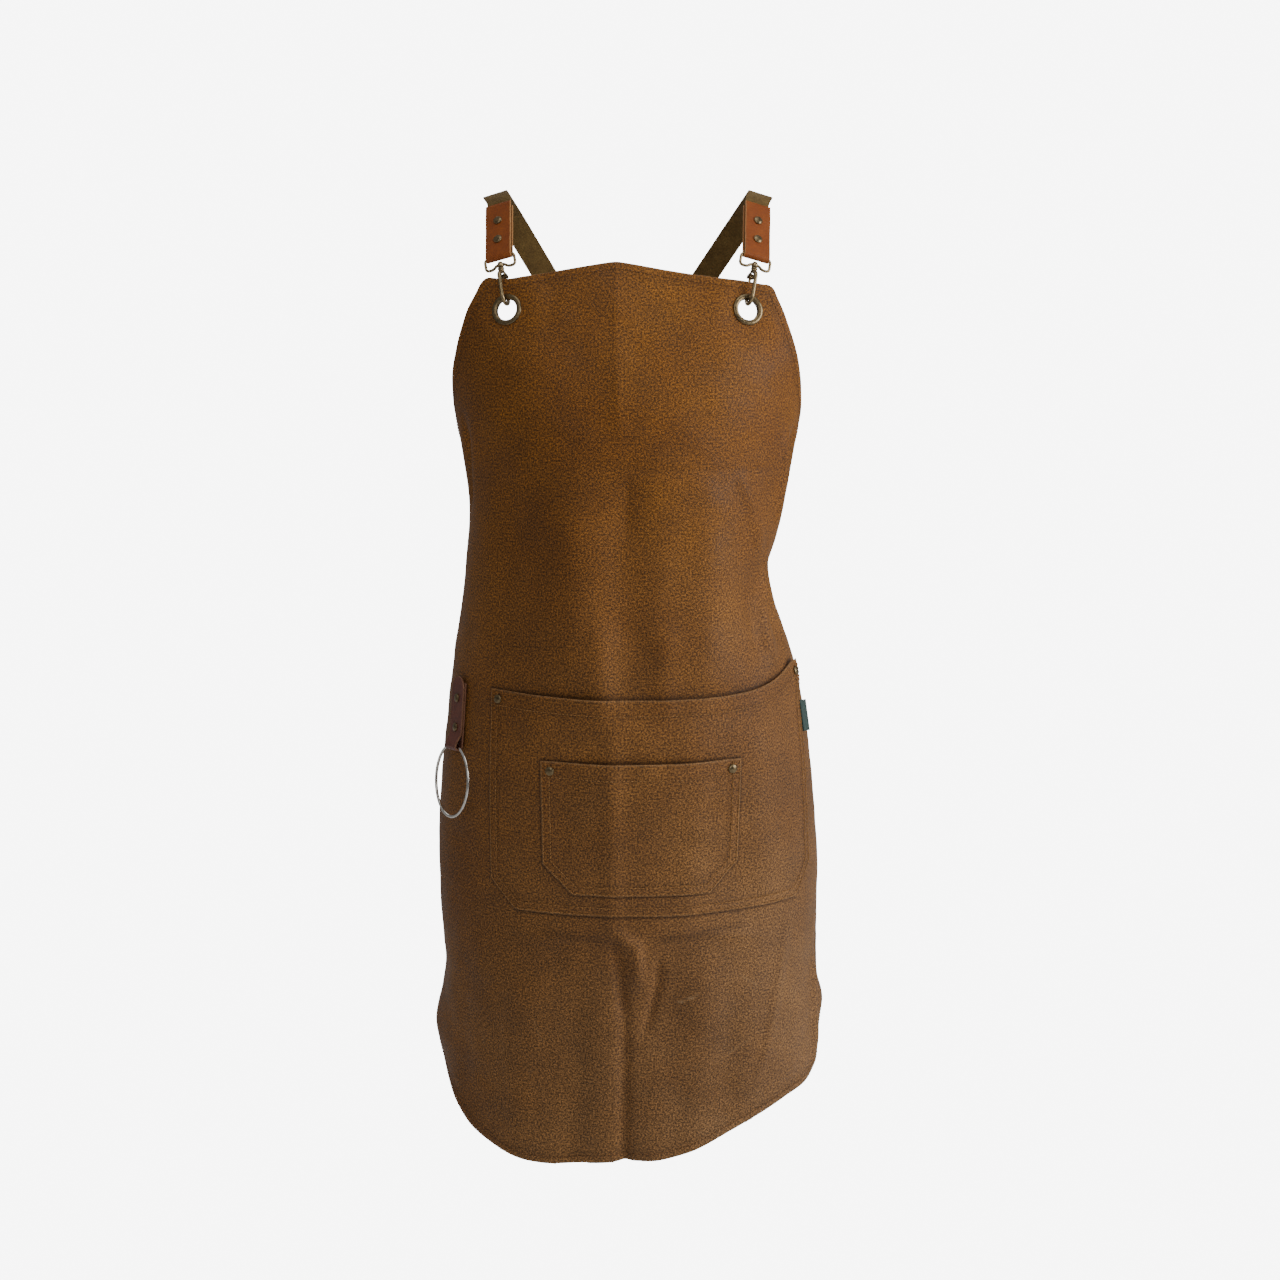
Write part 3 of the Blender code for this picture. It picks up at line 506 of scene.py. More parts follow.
def large_height(s, z):
    """Height of the large pocket's middle surface off the form."""
    own = waves(s, z, 7, 18, (0.022, 0.08), 0.0006)
    opened = gape(LARGE_POCKET, s, z, 0.02)
    near_side = smooth((s - LARGE_POCKET.right + 0.03) / 0.028)
    corner = 0.004 * near_side * smooth((z - LARGE_POCKET.top + 0.03) / 0.035)
    return relief(s, z) * 0.85 + LARGE_LIFT + LARGE_GAPE * opened + own * smooth(opened * 6) + corner


def small_height(s, z):
    """Height of the small pocket's middle surface off the form."""
    opened = gape(SMALL_POCKET, s, z, 0.05)
    own = waves(s, z, 9, 16, (0.02, 0.07), 0.0006)
    under = large_height(s, z) - LARGE_LIFT
    return under + SMALL_LIFT + SMALL_GAPE * opened + own * smooth(opened * 6)


POCKETS = (("large", LARGE_POCKET, large_height), ("small", SMALL_POCKET, small_height))


def upright(size, s, up):
    """Height of a pocket's cloth at s, up from its bottom edge: its right upper corner is drawn
    up, and its mouth sags."""
    across = (s - size.left) / size.wide
    drawn = size.rise * np.clip((across - 0.58) / 0.38, 0, 1) ** 2.8
    sag = size.sag * np.sin(np.pi * np.clip(across, 0, 1))
    return size.bottom + up + (drawn - sag) * up / size.tall


# ---- building meshes

def new_object(name, verts, faces, look):
    """An object of that mesh, in the scene."""
    mesh = bpy.data.meshes.new(name)
    mesh.from_pydata([tuple(v) for v in verts], [], [tuple(f) for f in faces])
    mesh.validate()
    mesh.shade_smooth()
    mesh.materials.append(MATERIALS[look])
    obj = bpy.data.objects.new(name, mesh)
    bpy.context.scene.collection.objects.link(obj)
    return obj


def give_uv(mesh, uv):
    """A UV layer that holds a place for each vertex."""
    layer = mesh.uv_layers.new(name="UVMap")
    corner = np.empty(len(mesh.loops), dtype=np.int32)
    mesh.loops.foreach_get("vertex_index", corner)
    layer.data.foreach_set("uv", np.asarray(uv, np.float32)[corner].ravel())


def give_value(mesh, name, values):
    """A named value on each vertex, which a material can read."""
    attribute = mesh.attributes.new(name, "FLOAT", "POINT")
    attribute.data.foreach_set("value", np.asarray(values, np.float32).ravel())


def replaced(obj, body, node_name):
    """The piece moves with that body, in place of that CAD node."""
    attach(obj, body)
    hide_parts(node_name)
    return obj


def ring_faces(rings, sides, copies=1):
    """Faces of a closed tube of rings, with both ends capped, for each of several copies."""
    faces = []
    for copy in range(copies):
        base = copy * rings * sides
        for i in range(rings - 1):
            for j in range(sides):
                k = (j + 1) % sides
                low, high = base + i * sides, base + (i + 1) * sides
                faces.append((low + j, low + k, high + k, high + j))
        faces.append(tuple(base + j for j in reversed(range(sides))))
        faces.append(tuple(base + (rings - 1) * sides + j for j in range(sides)))
    return faces


def combined(name, shapes, look):
    """One object of several shapes, each a pair of verts and faces."""
    verts, faces = [], []
    for shape_verts, shape_faces in shapes:
        base = sum(len(v) for v in verts)
        verts.append(np.asarray(shape_verts))
        faces += [tuple(base + i for i in face) for face in shape_faces]
    return new_object(name, np.concatenate(verts), faces, look)


def moved(shape, matrix):
    """The shape placed by that matrix."""
    verts, faces = shape
    verts = np.asarray(verts) @ np.array(matrix.to_3x3()).T + np.array(matrix.translation)
    return verts, faces


def hardware(name, shapes, frame, node_name, body="apron", look="antique_brass"):
    """One piece of those shapes at the frame, in place of its CAD node."""
    obj = combined(name, [moved(shape, frame) for shape in shapes], look)
    replaced(obj, body, node_name)


def cloth_object(name, points, normals, lifts, s, z, worn, dark, node_name, keep=True):
    """A closed sheet round the points, with its faces at those two lifts and without the cells
    that keep leaves out, in place of its CAD node."""
    rows, columns = s.shape
    keep = np.broadcast_to(keep, (rows - 1, columns - 1))
    shift = rows * columns
    index = np.arange(shift).reshape(rows, columns)
    outer = np.stack([index[:-1, :-1], index[1:, :-1], index[1:, 1:], index[:-1, 1:]], -1)[keep]
    padded = np.pad(keep, 1)
    above, below = padded[:-1, 1:-1], padded[1:, 1:-1]
    before, after = padded[1:-1, :-1], padded[1:-1, 1:]
    level = np.stack([index[:, :-1], index[:, 1:]], -1)
    plumb = np.stack([index[:-1], index[1:]], -1)
    rims = np.concatenate([
        level[below & ~above][:, ::-1], level[above & ~below],
        plumb[after & ~before], plumb[before & ~after][:, ::-1],
    ])
    rim = np.stack([rims[:, 1], rims[:, 0], rims[:, 0] + shift, rims[:, 1] + shift], -1)
    faces = np.concatenate([outer, outer[:, ::-1] + shift, rim])
    used = np.unique(faces)
    renumber = np.zeros(2 * shift, dtype=int)
    renumber[used] = np.arange(len(used))
    both = np.concatenate([(points + normals * lift[..., None]).reshape(-1, 3) for lift in lifts])
    obj = new_object(name, both[used], renumber[faces], "canvas")
    flat = np.stack([s.ravel(), z.ravel()], -1)
    give_uv(obj.data, np.concatenate([flat, flat])[used])
    # On the canvas the edge value holds painted shade; the wear value holds real wear.
    for value_name, values in (("wear", worn), ("edge", dark)):
        give_value(obj.data, value_name, np.tile(values.ravel(), 2)[used])
    return replaced(obj, "apron", node_name)


def edge_distance(s, z, outline):
    """Distance of each point of the flat cloth from its closed outline."""
    outline = np.asarray(outline)
    tree = KDTree(len(outline))
    for i, (a, b) in enumerate(outline):
        tree.insert((a, b, 0), i)
    tree.balance()
    found = np.array([tree.find((a, b, 0))[1] for a, b in zip(s.ravel(), z.ravel())])
    spot = np.stack([s.ravel(), z.ravel()], -1)
    best = np.full(len(spot), 1e9)
    for step in (-1, 1):
        a = outline[found]
        run = outline[(found + step) % len(outline)] - a
        size = np.maximum((run ** 2).sum(-1), 1e-14)
        t = np.clip(((spot - a) * run).sum(-1) / size, 0, 1)
        best = np.minimum(best, np.linalg.norm(spot - a - run * t[:, None], axis=-1))
    return best.reshape(s.shape)


def rounded(away, front, back):
    """Lifts of a cloth's two faces, drawn together in a round at its edge."""
    share = np.clip(away / EDGE_ROUND, 0, 1)
    full = np.sqrt(np.clip(1 - (1 - share) ** 2, 0.03, 1))
    middle = (front + back) / 2
    return middle + (front - middle) * full, middle + (back - middle) * full


def sewn(away, rows, depth):
    """How far rows of stitches at those distances from the edge press the cloth down."""
    return sum(depth * bell(away - row, STITCH_PRESS) for row in rows)


def with_edges(length, cell):
    """Distances from 0 to length in even cells, with finer ones at both ends."""
    middle = np.arange(EVEN_FROM, length - EVEN_FROM, cell)
    return np.concatenate([NEAR_EDGE, middle, length - NEAR_EDGE[::-1]])


# ---- panel

def panel_half(t, side):
    """Half the panel's width at the distance t below its top edge, on that side (-1 or 1)."""
    t = np.asarray(t, float)
    bib = BIB_HALF + (SIDE_HALF - BIB_HALF) * (np.clip(t, 0, ARMHOLE_DROP) / ARMHOLE_DROP) ** ARMHOLE_CURVE
    bib += np.where(side < 0, 0.007, 0.003) * smooth(t / 0.035) * smooth((ARMHOLE_DROP - t) / 0.15)
    into = np.clip(BIB_CORNER - t, 0, BIB_CORNER)
    bib -= BIB_CORNER - np.sqrt(BIB_CORNER ** 2 - into ** 2)
    rise = np.clip((PANEL_DROP - t) / HEM_CORNER_RISE, 0, 1)
    hem = HEM_HALF + (SIDE_HALF - HEM_HALF) * np.sqrt(1 - (1 - rise) ** 2)
    return np.where(t < ARMHOLE_DROP, bib, hem)


def cloth_height(s, t):
    """Height of the cloth t below its top edge: the bib's corners droop from a peak at the
    middle crease, and the hem is drawn up on the right and a little at its left corner."""
    across = np.clip(np.hypot(s + 0.01, 0.004) / BIB_HALF, 0, 1)
    sag = across - np.where(s < 0, 0.24, 0.04) * smooth((across - 0.72) / 0.18)
    droop = 0.0205 * sag * np.maximum(0.0, 1 - t / 0.22) ** 2
    low = smooth((t - 0.6) / 0.2)
    right = 0.0325 * smooth((s - 0.02) / 0.14) - 0.013 * smooth((s - 0.165) / 0.06)
    left = 0.01 * np.exp(-((s + 0.207) / 0.035) ** 2) - 0.0088 * np.exp(-((s + 0.085) / 0.052) ** 2)
    return PANEL_TOP_Z - t - droop + (right + left) * low


def corner_drops(count):
    """Distances below the top edge at even turns round the hem's corners."""
    return PANEL_DROP - HEM_CORNER_RISE * (1 - np.cos(np.radians(np.linspace(90, 0, count))))


def panel_outline():
    """The panel's edge on the flat cloth, clockwise from its upper left corner."""
    armhole = np.linspace(BIB_CORNER + 0.001, PANEL_DROP - HEM_CORNER_RISE - 0.001, 620)
    down = np.concatenate([np.linspace(0, BIB_CORNER, 24), armhole, corner_drops(400)])
    top = np.linspace(-panel_half(0, -1), panel_half(0, 1), 300)
    hem = np.linspace(1, -1, 300) * HEM_HALF
    s = np.concatenate([top, panel_half(down, 1), hem, -panel_half(down, -1)[::-1]])
    t = np.concatenate([0 * top, down, 0 * hem + PANEL_DROP, down[::-1]])
    return np.stack([s, cloth_height(s, t)], -1)


def canvas_panel():
    """The one piece of canvas that is the bib and the skirt, hemmed all round."""
    across = with_edges(2 * SIDE_HALF, PANEL_CELL) / SIDE_HALF - 1
    bib = np.arange(EVEN_FROM, ARMHOLE_DROP, PANEL_CELL)
    skirt = np.linspace(ARMHOLE_DROP, PANEL_DROP - HEM_CORNER_RISE, 132)[:-1]
    t = np.concatenate([NEAR_EDGE, bib, skirt, corner_drops(150)])[:, None]
    s = across * np.where(across < 0, panel_half(t, -1), panel_half(t, 1))
    z = cloth_height(s, t)
    away = edge_distance(s, z, panel_outline())
    points = form_points(s, z)
    points = points + grid_normals(points) * relief(s, z)[..., None]
    points, normals = flattened(points, grid_normals(points))
    hem = 1 - smooth((away - HEM) / 0.0014)
    pressed = sewn(away, (HEM_STITCH,), 0.0002)
    lifts = rounded(away, CLOTH / 2 + 0.0002 * hem - pressed, -CLOTH / 2 - (CLOTH - pressed) * hem)
    middle = (points[:-1, :-1] + points[1:, 1:]) / 2
    keep = np.ones(middle.shape[:2], bool)
    for plane in grommet_frames():
        keep &= np.linalg.norm(middle - np.array(plane.translation), axis=-1) > CUT_RADIUS
    worn = np.clip(wear(s, z) + 0.16 * bell(away, 0.0012), 0, 1)
    # The edge value is painted shade: painted shadow round the large pocket, along the creases and at the
    # step where the hem ends.
    dark = painted_pocket_shadow(s, z, LARGE_POCKET) + ridges(s, z, PAINTED_CREASE_SHADE, bell, 0.2) + 0.2 * bell(away - HEM, 0.0022)
    return cloth_object("canvas_panel", points, normals, lifts, s, z, worn, dark, "apron_panel", keep)


# ---- pockets

def dotted(corners, steps):
    """Even spots on each run from corner to corner, without the last corner."""
    return np.concatenate([np.linspace(a, b, steps)[:-1] for a, b in zip(corners, corners[1:])])


def laid(size, flat):
    """Places of (s, up) on a pocket, with up turned into a height."""
    return np.stack([flat[:, 0], upright(size, flat[:, 0], flat[:, 1])], -1)


def pocket_outline(size, taller=0.0):
    """The pocket's closed outline on the flat cloth."""
    left, right, cut, tall = size.left, size.right, size.cut, size.tall + taller
    corners = [(left, tall), (right, tall), (right, cut), (right - cut, 0), (left + cut, 0), (left, cut)]
    return laid(size, dotted(corners + corners[:1], 160))


def painted_pocket_shadow(s, z, size):
    """How dark the painted shadow is in the hollow along that pocket's edge, from 0 to 1."""
    return 0.8 * bell(edge_distance(s, z, pocket_outline(size)), 0.0019)


def pocket(name, size, height_at, node_name):
    """A patch pocket with two cut corners: its edges folded under, and a deep hem on top."""
    across = with_edges(size.wide, POCKET_CELL)
    up = with_edges(size.tall, POCKET_CELL)[::-1][:, None]
    cut = np.maximum(0.0, size.cut - up)
    s = size.left + cut + (size.wide - 2 * cut) * across / size.wide
    z = upright(size, s, up)
    away = edge_distance(s, z, pocket_outline(size))
    side = edge_distance(s, z, pocket_outline(size, 0.05))
    from_top = upright(size, s, np.full_like(s, size.tall)) - z
    points = form_points(s, z)
    points = points + grid_normals(points) * height_at(s, z)[..., None]
    fold = 1 - smooth((side - POCKET_FOLD) / 0.0014)
    top = 1 - smooth((from_top - POCKET_HEM - 0.0012) / 0.0016)
    pressed = sewn(side, SEAM_ROWS, 0.0002) + sewn(from_top, (POCKET_HEM,), 0.0003)
    front = CLOTH / 2 + 0.0004 * np.maximum(fold, 0.6 * top) - pressed
    lifts = rounded(away, front, -CLOTH / 2 - 0.0006 * top * (1 - fold))
    worn = np.clip(wear(s, z) * 0.5 + 0.28 * bell(away, 0.0012), 0, 1)
    # The edge value is painted shade: at the steps where the folded edges and the hem end, and painted
    # shadow round the small pocket.
    dark = 0.2 * np.clip(bell(side - POCKET_FOLD, 0.002) + bell(from_top - POCKET_HEM, 0.002), 0, 1)
    if size is LARGE_POCKET:
        dark = dark + painted_pocket_shadow(s, z, SMALL_POCKET)
    return cloth_object(name, points, grid_normals(points), lifts, s, z, worn, dark, node_name)


# ---- stitches

def along_line(line, pitch):
    """Spots at an even pitch along a line on the flat cloth, and the direction at each."""
    line = np.asarray(line, float)
    ends = lengths_along(line)
    at = np.arange(pitch / 2, ends[-1], pitch)
    behind, spots, ahead = (
        np.stack([np.interp(at + step, ends, line[:, i]) for i in (0, 1)], -1)
        for step in (-0.0004, 0, 0.0004)
    )
    return spots, unit(ahead - behind)


def inset(outline, amount):
    """A closed outline moved inwards by that much; it runs clockwise."""
    run = unit(np.roll(outline, -1, axis=0) - np.roll(outline, 1, axis=0))
    return outline + np.stack([run[:, 1], -run[:, 0]], -1) * amount


def stitch_row(line, height_at, lift):
    """Verts and faces of a row of stitches: short round threads bowed over the cloth."""
    spots, along = along_line(line, STITCH_PITCH)
    rng = np.random.default_rng(len(spots))
    turn = rng.normal(0, 0.05, len(spots))
    along = np.stack([along[:, 0] - along[:, 1] * turn, along[:, 1] + along[:, 0] * turn], -1)
    half = STITCH_LENGTH / 2 * rng.uniform(0.92, 1.04, len(spots))[:, None]
    start, _ = cloth_at(*(spots - along * half).T, height_at)
    end, _ = cloth_at(*(spots + along * half).T, height_at)
    middle, normals = cloth_at(*spots.T, height_at)
    reach = (end - start) / 2
    sideways = np.cross(normals, unit(reach))
    places = np.array([-1.0, -0.94, -0.7, -0.35, 0.0, 0.35, 0.7, 0.94, 1.0])
    thick = np.array([0.25, 0.7, 0.95, 1.0, 1.0, 1.0, 0.95, 0.7, 0.25]) * THREAD_RADIUS
    bow = lift + 0.00022 - 0.0005 * places ** 4
    turns = np.radians(np.arange(0, 360, 60))
    verts = []
    for place, radius, high in zip(places, thick, bow):
        centre = middle + reach * place + normals * high
        verts += [centre + (sideways * math.cos(a) + normals * math.sin(a)) * radius for a in turns]
    return np.stack(verts, 1).reshape(-1, 3), ring_faces(len(places), len(turns), len(spots))


def stitching(name, rows, material):
    """One object of several rows of stitches."""
    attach(combined(name, rows, material), "apron")


def panel_line(amount):
    """The panel's outline moved inwards, for its hem stitches."""
    line = inset(panel_outline(), amount)
    return np.concatenate([line, line[:1]])


def seam_line(size, amount):
    """A line inside a pocket's left side, bottom and right side."""
    left, right = size.left + amount, size.right - amount
    cut = size.cut - amount * (2 - math.sqrt(2))
    tall = size.tall - 0.003
    corners = [(left, tall), (left, cut + amount), (left + cut, amount),
               (right - cut, amount), (right, cut + amount), (right, tall)]
    return laid(size, np.concatenate([dotted(corners, 60), corners[-1:]]))


def mouth_line(size, below):
    """A line across a pocket under its top edge."""
    up = size.tall - below
    return laid(size, np.linspace((size.left + 0.002, up), (size.right - 0.002, up), 200))


def all_stitches():
    """Every row of stitches on the canvas."""
    on_cloth = CLOTH / 2
    stitching("hem_stitches", [stitch_row(panel_line(HEM_STITCH), relief, on_cloth + 0.0001)], "hem_thread")
    for name, size, height_at in POCKETS:
        rows = [stitch_row(seam_line(size, d), height_at, on_cloth + 0.0005) for d in SEAM_ROWS]
        rows.append(stitch_row(mouth_line(size, POCKET_HEM), height_at, on_cloth + 0.0001))
        if size is LARGE_POCKET:
            s = (SMALL_POCKET.left + SMALL_POCKET.right) / 2 - 0.0085
            divider = [(s, SMALL_POCKET.bottom - 0.0005), (s, size.bottom + 0.009)]
            rows.append(stitch_row(divider, height_at, on_cloth))
        stitching(f"{name}_pocket_stitches", rows, "thread")


# ---- swept and turned shapes

def arc(centre, radius, start, end, steps, axes=(1, 2)):
    """Points on an arc in two of the three axes, with angles in degrees."""
    points = []
    for i in range(steps + 1):
        angle = math.radians(start + (end - start) * i / steps)
        point = list(centre)
        point[axes[0]] += radius * math.cos(angle)
        point[axes[1]] += radius * math.sin(angle)
        points.append(tuple(point))
    return points


def spline(points, steps):
    """A smooth curve through the second to the last but one of the points."""
    found = []
    for a, b, c, d in zip(points, points[1:], points[2:], points[3:]):
        for t in np.arange(steps) / steps:
            square = (2 * a - 5 * b + 4 * c - d) * t * t
            found.append(0.5 * (2 * b + (c - a) * t + square + (3 * b - a - 3 * c + d) * t ** 3))
    return found


def curve_through(points, steps, closed=False):
    """A smooth curve through all the points."""
    points = np.asarray(points, float)
    if closed:
        return np.array(spline(np.concatenate([points[-1:], points, points[:2]]), steps))
    ends = 2 * points[:1] - points[1:2], 2 * points[-1:] - points[-2:-1]
    return np.array(spline(np.concatenate([ends[0], points, ends[1]]), steps) + [points[-1]])


def tube(points, radius, closed=False, sides=16, steps=5):
    """A round wire on a smooth curve through the points, with rounded ends."""
    line = curve_through(points, steps, closed)
    count = len(line)
    radii = np.interp(np.linspace(0, 1, count), np.linspace(0, 1, np.size(radius)), np.atleast_1d(radius))
    if closed:
        along = np.roll(line, -1, 0) - np.roll(line, 1, 0)
    else:
        along = np.gradient(line, axis=0)
    along = unit(along)
    if not closed:
        first, last = radii[0], radii[-1]
        tips = line[0] - along[0] * first * 0.35, line[-1] + along[-1] * last * 0.35
        line = np.concatenate([tips[:1], line, tips[1:]])
        along = np.concatenate([along[:1], along, along[-1:]])
        radii = np.concatenate([[first * 0.6], radii, [last * 0.6]])
    seed = np.array([1.0, 0, 0]) if abs(along[0][0]) < 0.8 else np.array([0, 1.0, 0])
    side = np.cross(along[0], seed)
    frames = []
    for direction in along:
        side = side - direction * (side @ direction)
        side = side / np.linalg.norm(side)
        frames.append((side, np.cross(direction, side)))
    turns = np.linspace(0, 2 * math.pi, sides + 1)[:-1]
    verts = []
    for centre, (a, b), size in zip(line, frames, radii):
        verts += [centre + (a * math.cos(t) + b * math.sin(t)) * size for t in turns]
    faces = ring_faces(len(line), sides)
    if closed:
        faces = faces[:-2]
        last = (len(line) - 1) * sides
        a, b = frames[-1]
        shift = int(round(math.atan2(frames[0][0] @ b, frames[0][0] @ a) / (2 * math.pi) * sides))
        for j in range(sides):
            here, there = (j + shift) % sides, (j + 1 + shift) % sides
            faces.append((last + here, last + there, (j + 1) % sides, j))
    return np.array(verts), faces


def lathe(profile, steps, closed=False):
    """A solid of revolution about z, from its profile of (radius, z)."""
    turns = np.linspace(0, 2 * math.pi, steps + 1)[:-1]
    verts, rings = [], []
    for r, z in profile:
        if r < 1e-7:
            rings.append([len(verts)])
            verts.append((0, 0, z))
        else:
            rings.append(list(range(len(verts), len(verts) + steps)))
            verts += [(r * math.cos(t), r * math.sin(t), z) for t in turns]
    faces = []
    for low, high in zip(rings, rings[1:] + rings[:1] * closed):
        for j in range(steps):
            k = (j + 1) % steps
            corners = [low[j % len(low)], low[k % len(low)], high[k % len(high)], high[j % len(high)]]
            if len(low) == 1:
                corners = [low[0], high[k], high[j]]
            elif len(high) == 1:
                corners = [low[j], low[k], high[0]]
            faces.append(tuple(corners))
    return np.array(verts), faces


def collar(inner, outer, low, high, bevel, steps):
    """A turned collar about z with its outer corners bevelled by that radius and height."""
    in_by, up_by = bevel
    profile = [(inner, low), (outer - in_by, low), (outer, low + up_by),
               (outer, high - up_by), (outer - in_by, high), (inner, high)]
    return lathe(profile, steps, True)


def strip(name, look, stations, halves, thickness, square, node_name):
    """A flat strip with rounded edges, swept along stations of a point and a direction across
    it, in place of its CAD node. It carries its places, and which of its faces are cut edges."""
    stations = np.asarray(stations, float)
    halves = np.broadcast_to(halves, len(stations))
    points, across = stations[:, :3], unit(stations[:, 3:])
    along = unit(np.gradient(points, axis=0))
    up = unit(np.cross(across, along))
    length = lengths_along(points)
    turn = np.radians(np.linspace(90, -90, 9))
    round_x = np.abs(np.cos(turn)) ** square
    round_y = np.sign(np.sin(turn)) * np.abs(np.sin(turn)) ** square
    flats = np.linspace(0.9, -0.9, 11)
    level = np.ones_like(flats)
    radius = thickness / 2
    body = np.concatenate([np.ones(9), flats, -np.ones(9), flats[::-1]])
    out = np.concatenate([round_x, 0 * flats, -round_x, 0 * flats]) * radius
    high = np.concatenate([round_y, -level, -round_y, level]) * radius
    cut = np.abs(high) < 0.97 * radius
    verts, places, edges = [], [], []
    last = len(points) - 1
    for i, end in [(0, -1)] + [(i, 0) for i in range(last + 1)] + [(last, 1)]:
        x = (body * (halves[i] - radius) + out) * (0.985 if end else 1)
        y = high * (0.72 if end else 1)
        verts.append(points[i] + along[i] * end * 0.00025 + across[i] * x[:, None] + up[i] * y[:, None])
        places.append(np.stack([x, np.full_like(x, length[i])], -1))
        edges.append(cut | bool(end))
    obj = new_object(name, np.concatenate(verts), ring_faces(len(verts), len(body)), look)
    give_uv(obj.data, np.concatenate(places))
    give_value(obj.data, "edge", np.concatenate(edges))
    replaced(obj, "apron", node_name)


# ---- fasteners

def to_outside(matrix):
    """The same place with z pointing out of the cloth, for a turned piece."""
    return matrix @ Matrix.Rotation(math.radians(90), 4, "X")


def cap_rivet(name, matrix, under, over, node_name):
    """A domed cap with a rolled rim outside, and a flat foot inside."""
    dome = [(0.0, 0.002), (0.001, 0.00197), (0.002, 0.00184), (0.0028, 0.00162), (0.0033, 0.00135)]
    rim = [(0.0035, 0.00118), (0.00365, 0.00122), (0.00395, 0.00112),
           (RIVET_CAP, 0.00075), (RIVET_CAP, 0.0003), (0.0039, 0.0), (0.0013, 0.0)]
    foot = [(0.0013, 0), (0.0032, 0), (0.0034, -0.0003), (0.0032, -0.0007), (0, -0.0009)]
    profile = [(r, over + h) for r, h in dome + rim] + [(r, under + h) for r, h in foot]
    hardware(name, [lathe(profile, 40)], to_outside(matrix), node_name)


def pocket_rivets():
    """One rivet at each upper corner of both pockets."""
    for side, sign in SIDES.items():
        for kind, size, height_at in POCKETS:
            s = getattr(size, side) - sign * RIVET_INSET
            at = cloth_frame(s, float(upright(size, s, size.tall - RIVET_INSET)), height_at)
            cap_rivet(f"cap_rivet_{kind}_{side}", at, -0.003, 0.0012, f"{kind}_pocket_rivet_{side}")


def grommet(place):
    """A rolled eyelet through the cloth and the washer that it is set against."""
    at = to_outside(hook_frame(place))
    middle, wide = (HOLE_RADIUS + RIM_RADIUS) / 2, (RIM_RADIUS - HOLE_RADIUS) / 2
    wall = HOLE_RADIUS + 0.0006
    turns = np.radians(np.linspace(180, 0, 15))
    roll = [(middle + wide * math.cos(a), 0.001 + 0.0015 * math.sin(a) ** 0.8) for a in turns]
    roll += [(RIM_RADIUS - 0.0002, 0.0006), (wall, 0.0008), (wall, -0.0018), (HOLE_RADIUS, -0.002)]
    hardware(f"{place}_rolled_eyelet", [lathe(roll, 96, True)], at, f"{place}_grommet_eyelet")
    back = [(wall + 0.0003, 0), (wall + 0.001, -0.0006), (RIM_RADIUS - 0.001, -0.0006),
            (RIM_RADIUS, 0), (RIM_RADIUS, 0.0004), (wall + 0.0003, 0.0004)]
    lip = [(HOLE_RADIUS, 0), (HOLE_RADIUS + 0.0004, -0.0008), (wall + 0.0012, -0.001),
           (wall + 0.0016, -0.0007), (wall + 0.0004, -0.0005), (wall, 0)]
    shapes = [lathe([(r, h - 0.0019) for r, h in ring], 96, True) for ring in (back, lip)]
    hardware(f"{place}_back_washer", shapes, at, f"{place}_grommet_washer")


def cheek(side):
    """One cheek of the fork that holds the gate's pin, a rounded plate across x."""
    y, z = GATE_PIVOT
    outline = [(-0.0004, z + 0.003), (-0.0008, z + 0.0012), (0.0004, z - 0.0002), (y - 0.0012, z - 0.0015)]
    turns = np.radians(range(-80, 100, 20))
    outline += [(y + 0.0019 * math.cos(a), z + 0.0019 * math.sin(a)) for a in turns]
    outline += [(y - 0.003, z + 0.0026), (0.0022, z + 0.0031)]
    outline = np.array(outline)
    middle = outline.mean(0)
    verts = []
    for x, size in ((0.00155, 0.9), (0.00165, 1.0), (0.00265, 1.0), (0.0029, 0.86)):
        ring = middle + (outline - middle) * size
        verts += [(side * x, a, b) for a, b in ring]
    faces = ring_faces(4, len(outline))
    if side > 0:
        faces = [face[::-1] for face in faces]
    return np.array(verts), faces


def wire_loop(place, frame):
    """The wire frame that the strap goes round, with the swivel's eye under it."""
    corner, low, high = 0.003, LOOP_BOTTOM, BAR_Z
    right = [(0.006, 0, high)] + arc((LOOP_HALF - corner, 0, high - corner), corner, 90, 0, 5, (0, 2))
    right += arc((LOOP_HALF - corner, 0, low + corner), corner, 0, -90, 5, (0, 2))
    eye_side = ((0.009, 0), (0.0066, 0.0008), (0.0045, 0.0023), (0.0024, 0.0031))
    right += [(x, 0, low + up) for x, up in eye_side]
    path = [(0, 0, high)] + right + [(0, 0, low + 0.0032)] + [(-x, y, z) for x, y, z in right[::-1]]
    shapes = [tube(path, 1.12 * LOOP_WIRE, True, 14, 3), collar(0.0016, 0.0031, *EYE, (0.0005, 0.0006), 32)]
    hardware(f"{place}_wire_loop", shapes, frame, f"{place}_hook_loop", f"{place}_loop")


def cast_hook(place, frame):
    """The hook with its swivel post and the fork that holds the gate."""
    path = [(0, HOOK_BEND, NOSE_TOP)] + arc((0, 0, HOOK_LOW + HOOK_BEND), HOOK_BEND, 0, -180, 12)
    path += [(0, -HOOK_BEND, 0.022), (0, -HOOK_BEND, 0.029), (0, -0.0068, 0.0322)]
    path += [(0, -0.005, 0.0345), (0, -0.0022, 0.0361), (0, 0, 0.0372)]
    radii = [0.0015] + 5 * [HOOK_WIRE] + [0.0019, 0.0021]
    head = EYE[1] + 0.0003
    low, high = KNOB
    swivel = [
        (0, head + 0.0017), (0.001, head + 0.0016), (0.0019, head + 0.0012), (0.0024, head + 0.0005),
        (0.0023, head), (0.0012, head), (0.0012, high + 0.0001), (0.002, high), (0.0028, high - 0.0004),
        (KNOB_RADIUS, high - 0.0012), (KNOB_RADIUS, high - 0.002), (0.0026, high - 0.0024),
        (0.0026, low + 0.0018), (KNOB_RADIUS, low + 0.0013), (0.0029, low + 0.0005), (0.0022, low),
        (0, low - 0.0001),
    ]
    shapes = [tube(path, radii, False, 18, 4), lathe(swivel, 40), cheek(-1), cheek(1)]
    hardware(f"{place}_cast_hook", shapes, frame, f"{place}_hook", f"{place}_hook")


